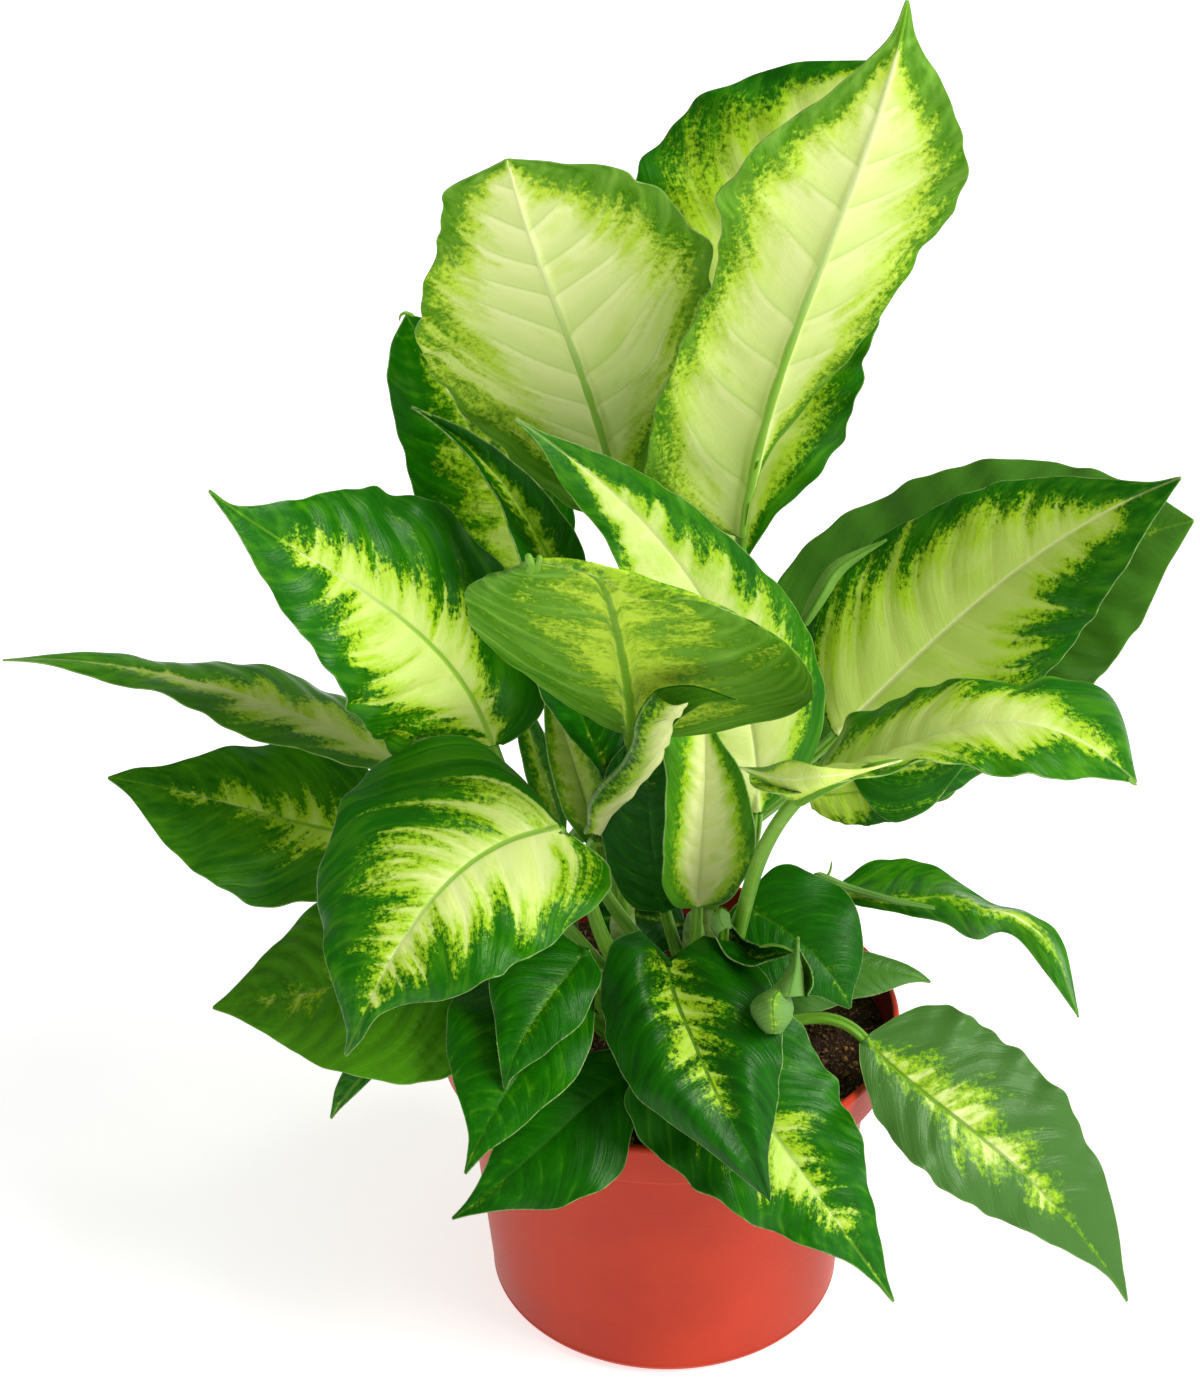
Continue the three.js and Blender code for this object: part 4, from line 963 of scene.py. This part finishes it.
def blade_material(name, tints, gloss, specular, soft, grainy, hold):
    """Variegation: a pale middle whose edge is brushed out along the veins.
    Attribute blade holds t, s and the vein number; tone holds how far inside the pale area a point is,
    in half widths, its millimetres from the margin and its share of the rib's half width; kind holds
    darkness, paleness and a seed; mark holds the rib's tint, mottling and how deep the comb is.
    Light and shade are painted too: a grey sheen where the darkness is below -0.2, shade just past each
    lateral vein in the pale area, and a highlight along the margin."""
    sh = Shader(name)
    t, s, vein = sh.attribute("blade")
    inside, margin, aside = sh.attribute("tone")
    deep, pale, seed = sh.attribute("kind")
    ribbing, mottled, combing = sh.attribute("mark")
    out = sh.math("ABSOLUTE", s)
    comb = sh.noise(sh.vector(sh.times(vein, 1.15), sh.times(out, 0.8), seed), 1.0, 1.0)
    brush = sh.noise(sh.vector(sh.times(vein, 4.0), sh.times(out, 3.2), seed), 1.0, 2.0)
    bristle = sh.noise(sh.vector(sh.times(vein, 13.0), sh.times(out, 17.0), seed), 1.0, 3.0, 0.7)
    blotch = sh.noise(sh.vector(sh.times(vein, 1.3), sh.times(out, 3.0), sh.add(seed, 7.0)), 1.0, 3.0)
    dots = sh.noise(sh.coordinates(), 520.0, 3.0, 0.7)
    near = sh.math("PINGPONG", vein, 0.5)
    line = sh.span(near, 0.01, 0.18, 1.0, 0.0)
    edge = sh.add(sh.times(comb, 0.27), sh.add(sh.times(brush, 0.12), sh.times(bristle, 0.08)))
    edge = sh.add(edge, sh.times(sh.add(line, -0.3), 0.07))
    core = sh.add(inside, sh.times(edge, combing))
    patches = sh.add(sh.times(brush, 0.16), sh.add(sh.times(blotch, 0.5), sh.times(dots, 0.14)))
    core = sh.add(core, sh.times(sh.add(patches, -0.12), mottled))
    core = sh.add(core, sh.times(dots, grainy))
    shade = sh.add(deep, sh.add(sh.times(blotch, 0.2), sh.add(sh.times(brush, 0.08), sh.times(line, -0.12))))
    shade = sh.add(shade, sh.times(sh.span(core, -0.4, -0.06), 0.12))
    green = sh.mix(sh.span(shade, 0.0, 0.45, soft=False), tints["light"], tints["green"])
    green = sh.mix(sh.span(shade, 0.45, 1.0, soft=False), green, tints["dark"])
    # Painted sheen: a darkness below -0.2 turns the green towards a grey reflection.
    green = sh.mix(sh.span(deep, -1.0, -0.2, 1.0, 0.0, soft=False), green, tints["painted_sheen"])
    fleck = sh.times(sh.span(core, -0.34, 0.0), sh.span(sh.add(bristle, sh.times(dots, 0.9)), -0.6, 0.9))
    color = sh.mix(sh.times(fleck, 0.9), green, tints["bright"])
    blurred = sh.math("DIVIDE", sh.add(core, sh.times(dots, soft)), sh.add(sh.times(mottled, 0.32), soft))
    color = sh.mix(sh.span(blurred, -1.0, 1.0), color, tints["yellow"])
    light = sh.add(core, sh.add(sh.times(blotch, 0.08), sh.times(brush, 0.05)))
    light = sh.times(sh.span(light, 0.03, 0.44), sh.span(near, 0.0, 0.3, 1.0, 0.82))
    veined = sh.times(sh.times(line, sh.span(core, -0.04, 0.1)), sh.span(combing, 0.0, 1.2, 0.0, 0.4))
    light = sh.math("MAXIMUM", sh.times(light, pale), sh.times(veined, sh.add(pale, 0.2)))
    color = sh.mix(light, color, tints["cream"])
    raised = sh.times(sh.span(near, 0.0, 0.09, 1.0, 0.0), sh.span(out, 0.9, 0.3, 0.0, grainy * 4))
    color = sh.mix(sh.times(raised, sh.span(core, 0.0, 0.3)), color, tints["vein_and_quilt_shade"])
    # Painted shade: in the pale area the blade is darkened just past each lateral vein, fading towards the
    # next, as shade of the quilting.
    side = sh.span(sh.math("FRACT", vein), 0.0, 0.6, 0.5, 0.0, soft=False)
    color = sh.mix(sh.times(side, sh.span(core, 0.1, 0.4)), color, tints["vein_and_quilt_shade"])
    warm = sh.times(sh.span(blotch, 0.1, 0.9), sh.span(core, 0.08, 0.3))
    color = sh.mix(sh.times(warm, 0.35), color, tints["yellow"])
    rib = sh.mix(sh.span(ribbing, -1.0, 0.0, soft=False), tints["green"], tints["rib"])
    fade = sh.times(sh.times(sh.span(t, 0.3, 0.75), sh.span(core, 0.0, 0.2)), sh.span(ribbing, -1.0, -0.2))
    rib = sh.mix(sh.math("MAXIMUM", ribbing, sh.times(fade, 0.8)), rib, tints["cream"])
    ribbed = sh.times(sh.span(aside, 0.5, 1.05, 1.0, 0.0), sh.span(core, -0.1, 0.15, hold, 0.85))
    color = sh.mix(ribbed, color, rib)
    # Painted highlight: a pale line along the margin, where the edge would catch the light.
    rim = sh.span(margin, 0.12, 0.45, 1.0, 0.0)
    color = sh.mix(sh.times(rim, sh.span(brush, -1.0, 0.8, 0.1, 0.6)), color, tints["edge"])
    grain = sh.noise(sh.coordinates(), 900.0, 3.0, 0.6)
    small = sh.noise(sh.vector(sh.times(vein, 7.0), sh.times(out, 3.0), seed), 1.0, 2.0)
    height = sh.add(sh.times(small, 0.6), sh.times(grain, 0.2))
    sh.bump(height, 0.35, 0.0003)
    rough = sh.add(sh.times(sh.add(grain, blotch), 0.05), gloss)
    sh.surface.inputs["Specular Tint"].default_value = (0.8, 1.0, 0.7, 1.0)
    return sh.finish(color, rough, specular)


def stalk_material():
    """The petioles: blade holds the distance along one in millimetres and the place around it."""
    sh = Shader("stalk")
    along, around, _ = sh.attribute("blade")
    _, _, seed = sh.attribute("kind")
    lines = sh.noise(sh.vector(sh.times(along, 0.02), sh.times(around, 5.0), seed), 1.0, 2.0)
    mottle = sh.noise(sh.vector(sh.times(along, 0.25), sh.times(around, 2.0), seed), 1.0, 3.0, 0.6)
    color = sh.mix(sh.span(lines, -1.0, 1.0), srgb(82, 142, 22), srgb(128, 178, 56))
    color = sh.mix(sh.span(mottle, 0.0, 1.2, 0.0, 0.4), color, srgb(168, 200, 96))
    sh.bump(lines, 0.15, 0.0002)
    return sh.finish(color, sh.add(sh.times(mottle, 0.05), 0.36), 0.3)


def cane_material():
    sh = Shader("cane")
    here = sh.coordinates()
    x, y, z = sh.parts(here)
    band = sh.noise(sh.vector(sh.times(x, 40.0), sh.times(y, 40.0), sh.times(z, 260.0)), 1.0, 3.0, 0.6)
    mottle = sh.noise(here, 300.0, 4.0, 0.6)
    color = sh.mix(sh.span(band, -0.8, 0.8), srgb(96, 138, 50), srgb(150, 176, 90))
    color = sh.mix(sh.span(z, 0.104, 0.128, 0.7, 0.0), color, srgb(150, 122, 78))
    color = sh.mix(sh.span(mottle, 0.2, 1.0, 0.0, 0.4), color, srgb(190, 200, 140))
    sh.bump(sh.add(band, mottle), 0.4, 0.0003)
    return sh.finish(color, sh.add(sh.times(mottle, 0.06), 0.5), 0.4)


def pot_material():
    sh = Shader("pot_plastic")
    here = sh.coordinates()
    x, y, z = sh.parts(here)
    cloud = sh.noise(here, 28.0, 3.0, 0.55)
    speck = sh.noise(here, 900.0, 2.0, 0.6)
    lines = sh.noise(sh.vector(sh.times(x, 3.0), sh.times(y, 3.0), sh.times(z, 700.0)), 1.0, 2.0)
    color = sh.mix(sh.span(cloud, -1.0, 1.0), srgb(178, 44, 13), srgb(190, 52, 17))
    radius = sh.math("POWER", sh.add(sh.times(x, x), sh.times(y, y)), 0.5)
    color = sh.mix(sh.span(speck, 0.5, 1.3, 0.0, 0.25), color, srgb(206, 78, 50))
    # Painted shade: the inner wall above the compost is made a darker maroon.
    painted_inner_shade = sh.times(sh.span(radius, 0.0827, 0.0832, 1.0, 0.0), sh.span(z, 0.103, 0.105))
    color = sh.mix(sh.times(painted_inner_shade, 0.85), color, srgb(112, 30, 24))
    height = sh.add(sh.times(lines, 0.4), sh.times(speck, 0.3))
    sh.bump(height, 0.25, 0.0002)
    rough = sh.add(sh.times(cloud, 0.05), sh.add(sh.times(speck, 0.04), 0.4))
    return sh.finish(color, rough, 0.2)


def soil_material():
    sh = Shader("compost")
    here = sh.coordinates()
    clump = sh.noise(here, 180.0, 5.0, 0.65)
    crumb = sh.noise(here, 700.0, 4.0, 0.6)
    color = sh.mix(sh.span(clump, -0.8, 0.9), srgb(20, 12, 6), srgb(70, 44, 26))
    color = sh.mix(sh.span(crumb, 0.15, 0.8, 0.0, 0.8), color, srgb(150, 108, 62))
    sh.bump(sh.add(clump, sh.times(crumb, 0.6)), 0.9, 0.0012)
    return sh.finish(color, sh.add(sh.times(crumb, 0.05), 0.9), 0.25)


def crumb_material():
    sh = Shader("crumbs")
    here = sh.coordinates()
    kind = sh.noise(here, 330.0, 2.0, 0.6)
    grain = sh.noise(here, 1500.0, 3.0, 0.6)
    color = sh.mix(sh.span(kind, -0.5, 0.5), srgb(44, 28, 16), srgb(168, 122, 68))
    color = sh.mix(sh.span(grain, -0.4, 1.0, 0.0, 0.6), color, srgb(92, 62, 36))
    sh.bump(grain, 0.6, 0.0004)
    return sh.finish(color, sh.add(sh.times(grain, 0.05), 0.85), 0.25)


def floor_material():
    sh = Shader("studio_floor")
    cloud = sh.noise(sh.coordinates(), 2.0, 2.0)
    color = sh.mix(sh.span(cloud, -1.0, 1.0), (0.66, 0.66, 0.65, 1), (0.68, 0.68, 0.67, 1))
    sh.surface.inputs["Emission Color"].default_value = (1, 1, 1, 1)
    sh.surface.inputs["Emission Strength"].default_value = 0.69
    return sh.finish(color, 0.7, 0.1)


MATERIALS = {
    "upper": blade_material("leaf_upper", UPPER, 0.33, 0.17, 0.13, 0.03, 0.25),
    "under": blade_material("leaf_under", UNDER, 0.5, 0.1, 0.1, 0.055, 0.65),
    "stalk": stalk_material(),
    "cane": cane_material(),
    "pot": pot_material(),
    "soil": soil_material(),
    "crumb": crumb_material(),
    "floor": floor_material(),
}

# ---------------------------------------------------------------- leaves

ACROSS = [0, 0.012, 0.025, 0.04, 0.06, 0.085, 0.12, 0.165, 0.22, 0.28, 0.34, 0.4, 0.46, 0.52, 0.58,
          0.64, 0.7, 0.76, 0.82, 0.88, 0.93, 0.965, 0.985, 1]
COLUMNS = np.array([-a for a in ACROSS[:0:-1]] + ACROSS)
ROWS = 130
VEINS = 10
THICKNESS = 0.7
# The midrib's radius, times a leaf's stout: KEEL_TIP below at the tip and KEEL more at the base, and
# RIDGE above at the base only.
KEEL, KEEL_TIP, RIDGE = 1.9, 0.2, 2.0
RELIEF, RELIEF_LIMIT = 0.028, 45  # height of the quilting per half width, and the half width it stops at
FRILL, FRILL_PITCH = 0.6, 26  # the small waves of the margin: their size, and the length of one
STALK_RADIUS = (2.8, 2.0)
STALK_STEPS, STALK_BEND = 30, 0.38
SIDE_SHIFT = 40  # keeps the vein numbers of both sides apart in the noises
SEED_STEP = 3.7
PALE_SHARES = (0.7, 1, 1, 0.9, 0.6, 0.0)  # the pale middle at the stations where a leaf gives one number


def vein_number(t, s, width, length):
    out = np.abs(s)
    return VEINS * (t + 0.012 * np.sin(19 * t) - width / length * (0.55 * out + 0.55 * out**3))


def stalk_rings(leaf, steps):
    """Rings of the stalk from cane to blade, with as many points as the blade's rows."""
    start = leaf["start"]
    t = 0.0
    while t < 1 and cane_point(leaf["cane"], t)[2] < start:
        t += 0.01
    foot = cane_point(leaf["cane"], t)
    controls = rib_points(leaf["rib"])
    base = controls[0]
    tangent = unit(controls[1] - controls[0])
    reach = STALK_BEND * np.linalg.norm(base - foot)
    away = base - foot
    away[2] = 0
    leave = leaf.get("leave", [*(away / np.linalg.norm(away) * 0.6)[:2], 0.8])
    arrive = leaf.get("arrive", tangent)
    controls = np.array([foot, foot + unit(leave) * reach, base - unit(arrive) * reach, base])
    u = np.linspace(0, 1, steps)
    centre, along = bezier(controls, u)
    normal = upright(unit(leaf["face"]), tangent)
    thick, thin = leaf.get("stalk", STALK_RADIUS)
    rings = []
    for i in range(steps - 1, -1, -1):
        normal = upright(normal, along[i])
        side = np.cross(along[i], normal)
        radius = (thick + (thin - thick) * u[i]) * (1 + 0.3 * (1 - u[i]) ** 6)
        x = COLUMNS * 0.995
        y = np.sqrt(1 - x * x)
        groove = 1 - 0.45 * np.exp(-((x / 0.4) ** 2)) * smooth(0.15, 0.5, u[i])
        upper = centre[i] + radius * (np.outer(x, side) + np.outer(y * groove, normal))
        lower = centre[i] + radius * (np.outer(x, side) - np.outer(y, normal))
        rings.append(np.concatenate([upper, lower[::-1]]))
    return rings[::-1]


def frill(number, rows, s, length):
    """Small waves of the margin: how far it goes up and out, before their size is applied."""
    phase = 2.1 * number + 1.7 * (s > 0)
    beat = 2 * math.pi * length / FRILL_PITCH * rows
    up = np.sin(beat + phase) + 0.6 * np.sin(1.73 * beat + 2 * phase)
    wide = np.sin(1.31 * beat + 3 * phase) + 0.7 * np.sin(2.3 * beat - phase)
    ends = smooth(0, 0.08, rows) * (1 - smooth(0.93, 1, rows))
    return up * ends, wide * ends


def build_leaf(number, name, leaf, net=None):
    x = np.linspace(0, 1, ROWS)
    t = (0.75 * x + 0.25 * (0.5 - 0.5 * np.cos(math.pi * x)))[1:]
    rows, s = np.meshgrid(t, COLUMNS, indexing="ij")
    point, width = net_surface(net, leaf, t, COLUMNS) if net else blade_surface(leaf, rows, s)
    length = run_along(bezier(rib_points(leaf["rib"]), np.linspace(0, 1, 40))[0])[-1]
    out = np.abs(s)
    vein = vein_number(rows, s, width, length)
    aside = out * width
    normal = unit(np.cross(np.gradient(point, axis=1), np.gradient(point, axis=0)))
    up, wide = frill(number, rows, s, length)
    amount = leaf.get("frill", FRILL) * np.minimum(width / 25, 1.3)
    outward = unit(np.gradient(point, axis=1)) * np.sign(s)[..., None]
    point = point + normal * (amount * up * out**3)[..., None]
    point = point + outward * (0.5 * amount * wide * out**3)[..., None]
    for side, where, deep, spread in leaf.get("nicks", ()):
        dent = deep * np.exp(-(((rows - where) / spread) ** 2)) * out**4 * (np.sign(s) == side)
        point = point + outward * dent[..., None]
    quilt = np.abs(np.sin(math.pi * vein)) ** 1.2
    body = np.sin(math.pi * np.clip(out, 0, 1)) ** 0.7
    body = body * smooth(0.0, 0.08, rows) * (1 - smooth(0.85, 1, rows))
    relief = leaf.get("relief", RELIEF) * np.minimum(width, RELIEF_LIMIT) * (quilt - 0.5) * body
    point = point + normal * relief[..., None]
    normal = unit(np.cross(np.gradient(point, axis=1), np.gradient(point, axis=0)))
    sheet = THICKNESS / 2 * (1 - 0.35 * out**4)
    stout = (net or leaf).get("stout", 1.0)
    keel = (KEEL * (1 - rows) ** 0.7 + KEEL_TIP) * stout
    below = np.maximum(sheet, np.sqrt(np.clip(keel**2 - aside**2, 0, None)))
    ridge = RIDGE * (1 - smooth(0, 0.06, rows)) * stout
    above = np.maximum(sheet, np.sqrt(np.clip(ridge**2 - aside**2, 0, None)))
    above = above - 0.45 * np.exp(-((aside / 0.9) ** 2)) * smooth(0.02, 0.1, rows) * (1 - rows)
    upper = point + normal * above[..., None]
    lower = point - normal * below[..., None]
    part = bool(net) and "leaf" in net
    steps = 0 if part else STALK_STEPS
    rings = [] if part else stalk_rings(leaf, steps)
    rings += [np.concatenate([a, b[::-1]]) for a, b in zip(upper, lower)]
    around = 2 * len(COLUMNS)
    count = len(rings)
    faces = tube_faces(count, around)
    ring_of = np.repeat(np.arange(count - 1), around)
    column = np.tile(np.arange(around), count - 1)
    under = (column >= len(COLUMNS)) & (column < around - 1)
    kinds = np.where(ring_of < steps - 1, 2, np.where(under, 1, 0))
    c = np.arange(len(COLUMNS) - 1)
    caps = []
    for base, way in ((0, 1), ((count - 1) * around, -1)):
        cap = np.stack([base + c, base + around - 1 - c, base + around - 2 - c, base + c + 1], -1)
        caps.append(cap[:, ::way])
    faces = np.concatenate([faces, *caps])
    kinds = np.concatenate([kinds, np.full(len(c), 2), np.zeros(len(c), int)])
    left, right = leaf.get("pale", (0.5, 0.5))

    def extent(side):
        given = [side * share for share in PALE_SHARES] if np.isscalar(side) else list(side)
        return through(STATIONS, [given[0], *given, given[-1] - 0.3], rows)

    pale = np.where(s < 0, extent(left), extent(right))
    inside = pale - out
    if net and "inside" in net:
        inside = np.broadcast_to(through(net.get("s", NET_COLUMNS), net["inside"], COLUMNS), out.shape)

    def both(values, first, turned=0.0):
        grid = np.concatenate([values + turned, values[:, ::-1]], 1)
        return np.concatenate([np.full((steps, around), first), grid])

    blade = np.stack([both(rows, 0.0), both(s, 0.0), both(vein + SIDE_SHIFT * (s > 0), 0.0)], -1)
    if steps:
        centres = np.array([ring.mean(0) for ring in rings[:steps]])
        blade[:steps, :, 0] = run_along(centres)[:, None]
        blade[:steps, :, 1] = np.concatenate([COLUMNS, 2 - COLUMNS[::-1]])
    reach = 0.4 + 0.42 * keel
    pale_grid = both(inside, -1.0, leaf.get("turned", 0))
    tone = np.stack([pale_grid, both((1 - out) * width, 5.0), both(aside / reach, 9.0)], -1)
    deep, cream = leaf.get("tint", (0.2, 0.7))
    kind, mark = np.zeros_like(tone), np.zeros_like(tone)
    kind[...] = (deep, cream, number * SEED_STEP)
    mark[...] = leaf.get("mark", (0.1, 0.0, 1.0))
    obj = make_object(
        f"foliage_{name}", np.concatenate(rings), faces, kinds,
        [MATERIALS["upper"], MATERIALS["under"], MATERIALS["stalk"]],
        {"blade": blade.reshape(-1, 3), "tone": tone.reshape(-1, 3), "kind": kind.reshape(-1, 3),
         "mark": mark.reshape(-1, 3)},
    )
    return place(obj, "leaf", f"leaf_{net['leaf'] if part else name}")


for number, (name, leaf) in enumerate(LEAVES.items()):
    build_leaf(number, name, leaf, NETS.get(name))

for number, (name, net) in enumerate(NETS.items()):
    if "leaf" in net:
        build_leaf(number, name, {**LEAVES[net["leaf"]], **net["look"]}, net)


def build_spur(name, leaf, points, radius):
    """A thin tapering piece through points: a curled leaf tip, a hair or a raised rib."""
    knots = np.linspace(0, 1, len(points))
    u = np.linspace(0, 1, 60)
    centre = spline(knots, points, u)
    along = unit(np.gradient(centre, axis=0))
    angle = round_angles(14)
    normal = upright(np.array([0.3, -0.8, 0.5]), along[0])
    rings = []
    for k in range(len(u)):
        normal = upright(normal, along[k])
        side = np.cross(along[k], normal)
        r = (radius[0] + (radius[1] - radius[0]) * u[k]) * math.sqrt(max(1 - (2 * u[k] - 1) ** 10, 0.05))
        rings.append(tube_ring(centre[k], side, normal, r, angle))
    faces = closed_tube(len(u), len(angle), flip=True)
    blade = np.zeros((len(u), len(angle), 3))
    blade[..., 0], blade[..., 1] = run_along(centre)[-1] * u[:, None], np.sin(angle)
    attributes = {"blade": blade.reshape(-1, 3)}
    obj = make_object(name, np.concatenate(rings), faces, None, [MATERIALS["stalk"]], attributes)
    return place(obj, "leaf", f"leaf_{leaf}")


for name, (leaf, radius, points) in SPURS.items():
    build_spur(name, leaf, seen(laid_on(LEAVES[leaf], points)), radius)

# ---------------------------------------------------------------- canes

CANE_STEPS = 90
SCAR = 0.5  # how far a leaf scar stands out
SCAR_PARTS = 7  # the scars are at 1, 3, 5 and 7 of so many parts of a cane


def build_cane(name):
    radius = CANES[name][1]
    angle = round_angles(40)
    rings = []
    for t in np.arange(CANE_STEPS) / (CANE_STEPS - 1):
        centre = cane_point(name, t)
        along = unit(cane_point(name, min(t + 0.01, 1)) - cane_point(name, max(t - 0.01, 0)))
        normal = upright(np.array([0.0, 1.0, 0.0]), along)
        side = np.cross(along, normal)
        scar = SCAR * math.exp(-(((t * SCAR_PARTS + 0.5) % 2 - 1.5) / 0.16) ** 2)
        close = 1 if t < 0.9 else math.sqrt(max(1 - ((t - 0.9) / 0.105) ** 2, 0.02))
        r = (radius[0] + (radius[1] - radius[0]) * t) * close + scar
        r = r * (1 + 0.02 * np.sin(3 * angle + 5 * t))
        rings.append(tube_ring(centre, side, normal, r, angle))
    faces = closed_tube(CANE_STEPS, len(angle), flip=True)
    obj = make_object(f"stem_{name}", np.concatenate(rings), faces, None, [MATERIALS["cane"]])
    return place(obj, "cane", f"cane_{name}")


for name in CANES:
    build_cane(name)

# ---------------------------------------------------------------- pot and compost

ROUND_SIDES = 240
# The pot's radius and height, from the middle of its underside round the rim to the floor inside.
POT_OUTLINE = [
    (0.5, 0.6), (58, 0.6), (59, 0), (62.5, 0), (65.5, 3), (66.1, 4.4), (65.9, 5.2),
    (76, 103.5), (83.5, 103.5), (85, 118.6), (84.2, 120), (82.4, 120), (81.5, 105.5), (74, 101.5),
    (63.5, 3), (0.5, 3),
]
POT_CORNER = 1.1
DRAIN_COUNT, DRAIN_RING, DRAIN_RADIUS = 6, 44, 4.5
SOIL_SIDE = [(0.5, 3.3), (63, 3.3), (73.7, 101.8), (81.2, 105.8)]
SOIL_RADIUS, SOIL_TOP, SOIL_MOUND, SOIL_BUMP = 81.2, 106, 4, 1.6
SOIL_RINGS = 90
CRUMB_COUNT, CRUMB_REACH = 2600, 78


def lathe(name, profile, sides, materials):
    rings = [circle(round_angles(sides), r, z) for r, z in profile]
    faces = closed_tube(len(profile), sides)
    return make_object(name, np.concatenate(rings), faces, None, materials)


def rounded(points, radius, steps=5):
    """A profile with each inner corner rounded."""
    points = [np.asarray(p, float) for p in points]
    out = [points[0]]
    for a, b, c in zip(points, points[1:], points[2:]):
        r = min(radius, 0.45 * np.linalg.norm(b - a), 0.45 * np.linalg.norm(c - b))
        p, q = b + unit(a - b) * r, b + unit(c - b) * r
        for k in range(steps + 1):
            u = k / steps
            out.append((1 - u) ** 2 * p + 2 * (1 - u) * u * b + u * u * q)
    out.append(points[-1])
    return out


def build_pot():
    pot = lathe("nursery_pot", rounded(POT_OUTLINE, POT_CORNER), ROUND_SIDES, [MATERIALS["pot"]])
    for i in range(DRAIN_COUNT):
        angle = (i + 0.5) * 2 * math.pi / DRAIN_COUNT
        ring = DRAIN_RING * MM
        bpy.ops.mesh.primitive_cylinder_add(
            vertices=40, radius=DRAIN_RADIUS * MM, depth=20 * MM,
            location=(ring * math.cos(angle), ring * math.sin(angle), 0),
        )
        cutter = bpy.context.object
        hole = pot.modifiers.new("hole", "BOOLEAN")
        hole.operation = "DIFFERENCE"
        hole.solver = "EXACT"
        hole.object = cutter
        bpy.context.view_layer.update()
        cut = bpy.data.meshes.new_from_object(pot.evaluated_get(bpy.context.evaluated_depsgraph_get()))
        pot.modifiers.clear()
        pot.data = cut
        bpy.data.objects.remove(cutter)
    return place(pot, "pot", "pot")


def soil_height(x, y):
    r = np.hypot(x, y)
    bump = 0.6 * np.sin(0.31 * x + 1.3) * np.cos(0.27 * y - 0.4) + 0.4 * np.sin(0.12 * x - 0.19 * y)
    fine = 0.5 * np.sin(1.1 * x + 0.7 * y) * np.sin(0.9 * y - 0.5 * x)
    fine = fine + 0.35 * np.sin(2.3 * x) * np.sin(2.1 * y + 1)
    inward = 1 - r / SOIL_RADIUS
    return SOIL_TOP + SOIL_MOUND * inward + (SOIL_BUMP * bump + fine) * smooth(0, 0.06, inward)


def build_soil():
    angle = round_angles(ROUND_SIDES)
    rings = [circle(angle, r, z) for r, z in SOIL_SIDE]
    for r in np.linspace(SOIL_RADIUS, 0.4, SOIL_RINGS)[1:]:
        x, y = r * np.cos(angle), r * np.sin(angle)
        rings.append(np.stack([x, y, soil_height(x, y)], -1))
    faces = closed_tube(len(rings), ROUND_SIDES)
    obj = make_object("compost", np.concatenate(rings), faces, None, [MATERIALS["soil"]])
    return place(obj, "soil", "soil")


def build_crumbs():
    """Loose crumbs lying on the compost, half sunk in it."""
    random = np.random.default_rng(5)
    corners = np.array([(1, 0, 0), (-1, 0, 0), (0, 1, 0), (0, -1, 0), (0, 0, 1), (0, 0, -1)], float)
    sides = [(0, 2, 4), (2, 1, 4), (1, 3, 4), (3, 0, 4), (2, 0, 5), (1, 2, 5), (3, 1, 5), (0, 3, 5)]
    points, faces = [], []
    for _ in range(CRUMB_COUNT):
        r, angle = CRUMB_REACH * math.sqrt(random.random()), 2 * math.pi * random.random()
        x, y = r * math.cos(angle), r * math.sin(angle)
        size = 0.6 + 1.2 * random.random() ** 3
        spin = np.linalg.qr(random.normal(size=(3, 3)))[0]
        spin = spin * np.sign(np.linalg.det(spin))
        shape = corners * size * (0.7 + 0.6 * random.random((6, 1))) @ spin.T
        faces += [[len(points) * 6 + k for k in side] for side in sides]
        points.append(shape + (x, y, soil_height(x, y) + 0.2 * size))
    obj = make_object("compost_crumbs", np.concatenate(points), faces, None, [MATERIALS["crumb"]])
    return place(obj, "soil", "soil")


build_pot()
build_soil()
build_crumbs()

# ---------------------------------------------------------------- studio

FLOOR_SIZE, FLOOR_CELLS = 60, 40  # metres, and cells along a side
WORLD_LIGHT = 0.34
SENSOR_WIDTH = 36

bpy.ops.mesh.primitive_grid_add(
    x_subdivisions=FLOOR_CELLS, y_subdivisions=FLOOR_CELLS, size=FLOOR_SIZE, location=(0, 0, 0)
)
floor = bpy.context.object
floor.name = "studio_ground"
floor.data.materials.append(MATERIALS["floor"])

world = bpy.data.worlds.new("studio")
world.use_nodes = True
world.node_tree.nodes["Background"].inputs[0].default_value = (1, 1, 1, 1)
world.node_tree.nodes["Background"].inputs[1].default_value = WORLD_LIGHT
bpy.context.scene.world = world


def sun_light(name, toward, spread, strength):
    data = bpy.data.lights.new(name, "SUN")
    data.angle = math.radians(spread)
    data.energy = strength
    lamp = bpy.data.objects.new(name, data)
    bpy.context.scene.collection.objects.link(lamp)
    lamp.rotation_euler = Vector(toward).to_track_quat("Z", "Y").to_euler()


sun_light("key", (1.0, -0.42, 1.1), 30, 3.05)
sun_light("front", (1.0, -0.8, 0.3), 50, 0.55)

camera = bpy.data.objects.new("camera", bpy.data.cameras.new("camera"))
bpy.context.scene.collection.objects.link(camera)
camera.location = CAMERA_PLACE * MM
camera.rotation_euler = (math.pi / 2 - CAMERA_DIP, 0, 0)
camera.data.sensor_width = SENSOR_WIDTH
camera.data.lens = FOCAL_PIXELS / PHOTO_SIZE[1] * SENSOR_WIDTH
bpy.context.scene.camera = camera
bpy.context.scene.view_settings.view_transform = "Standard"
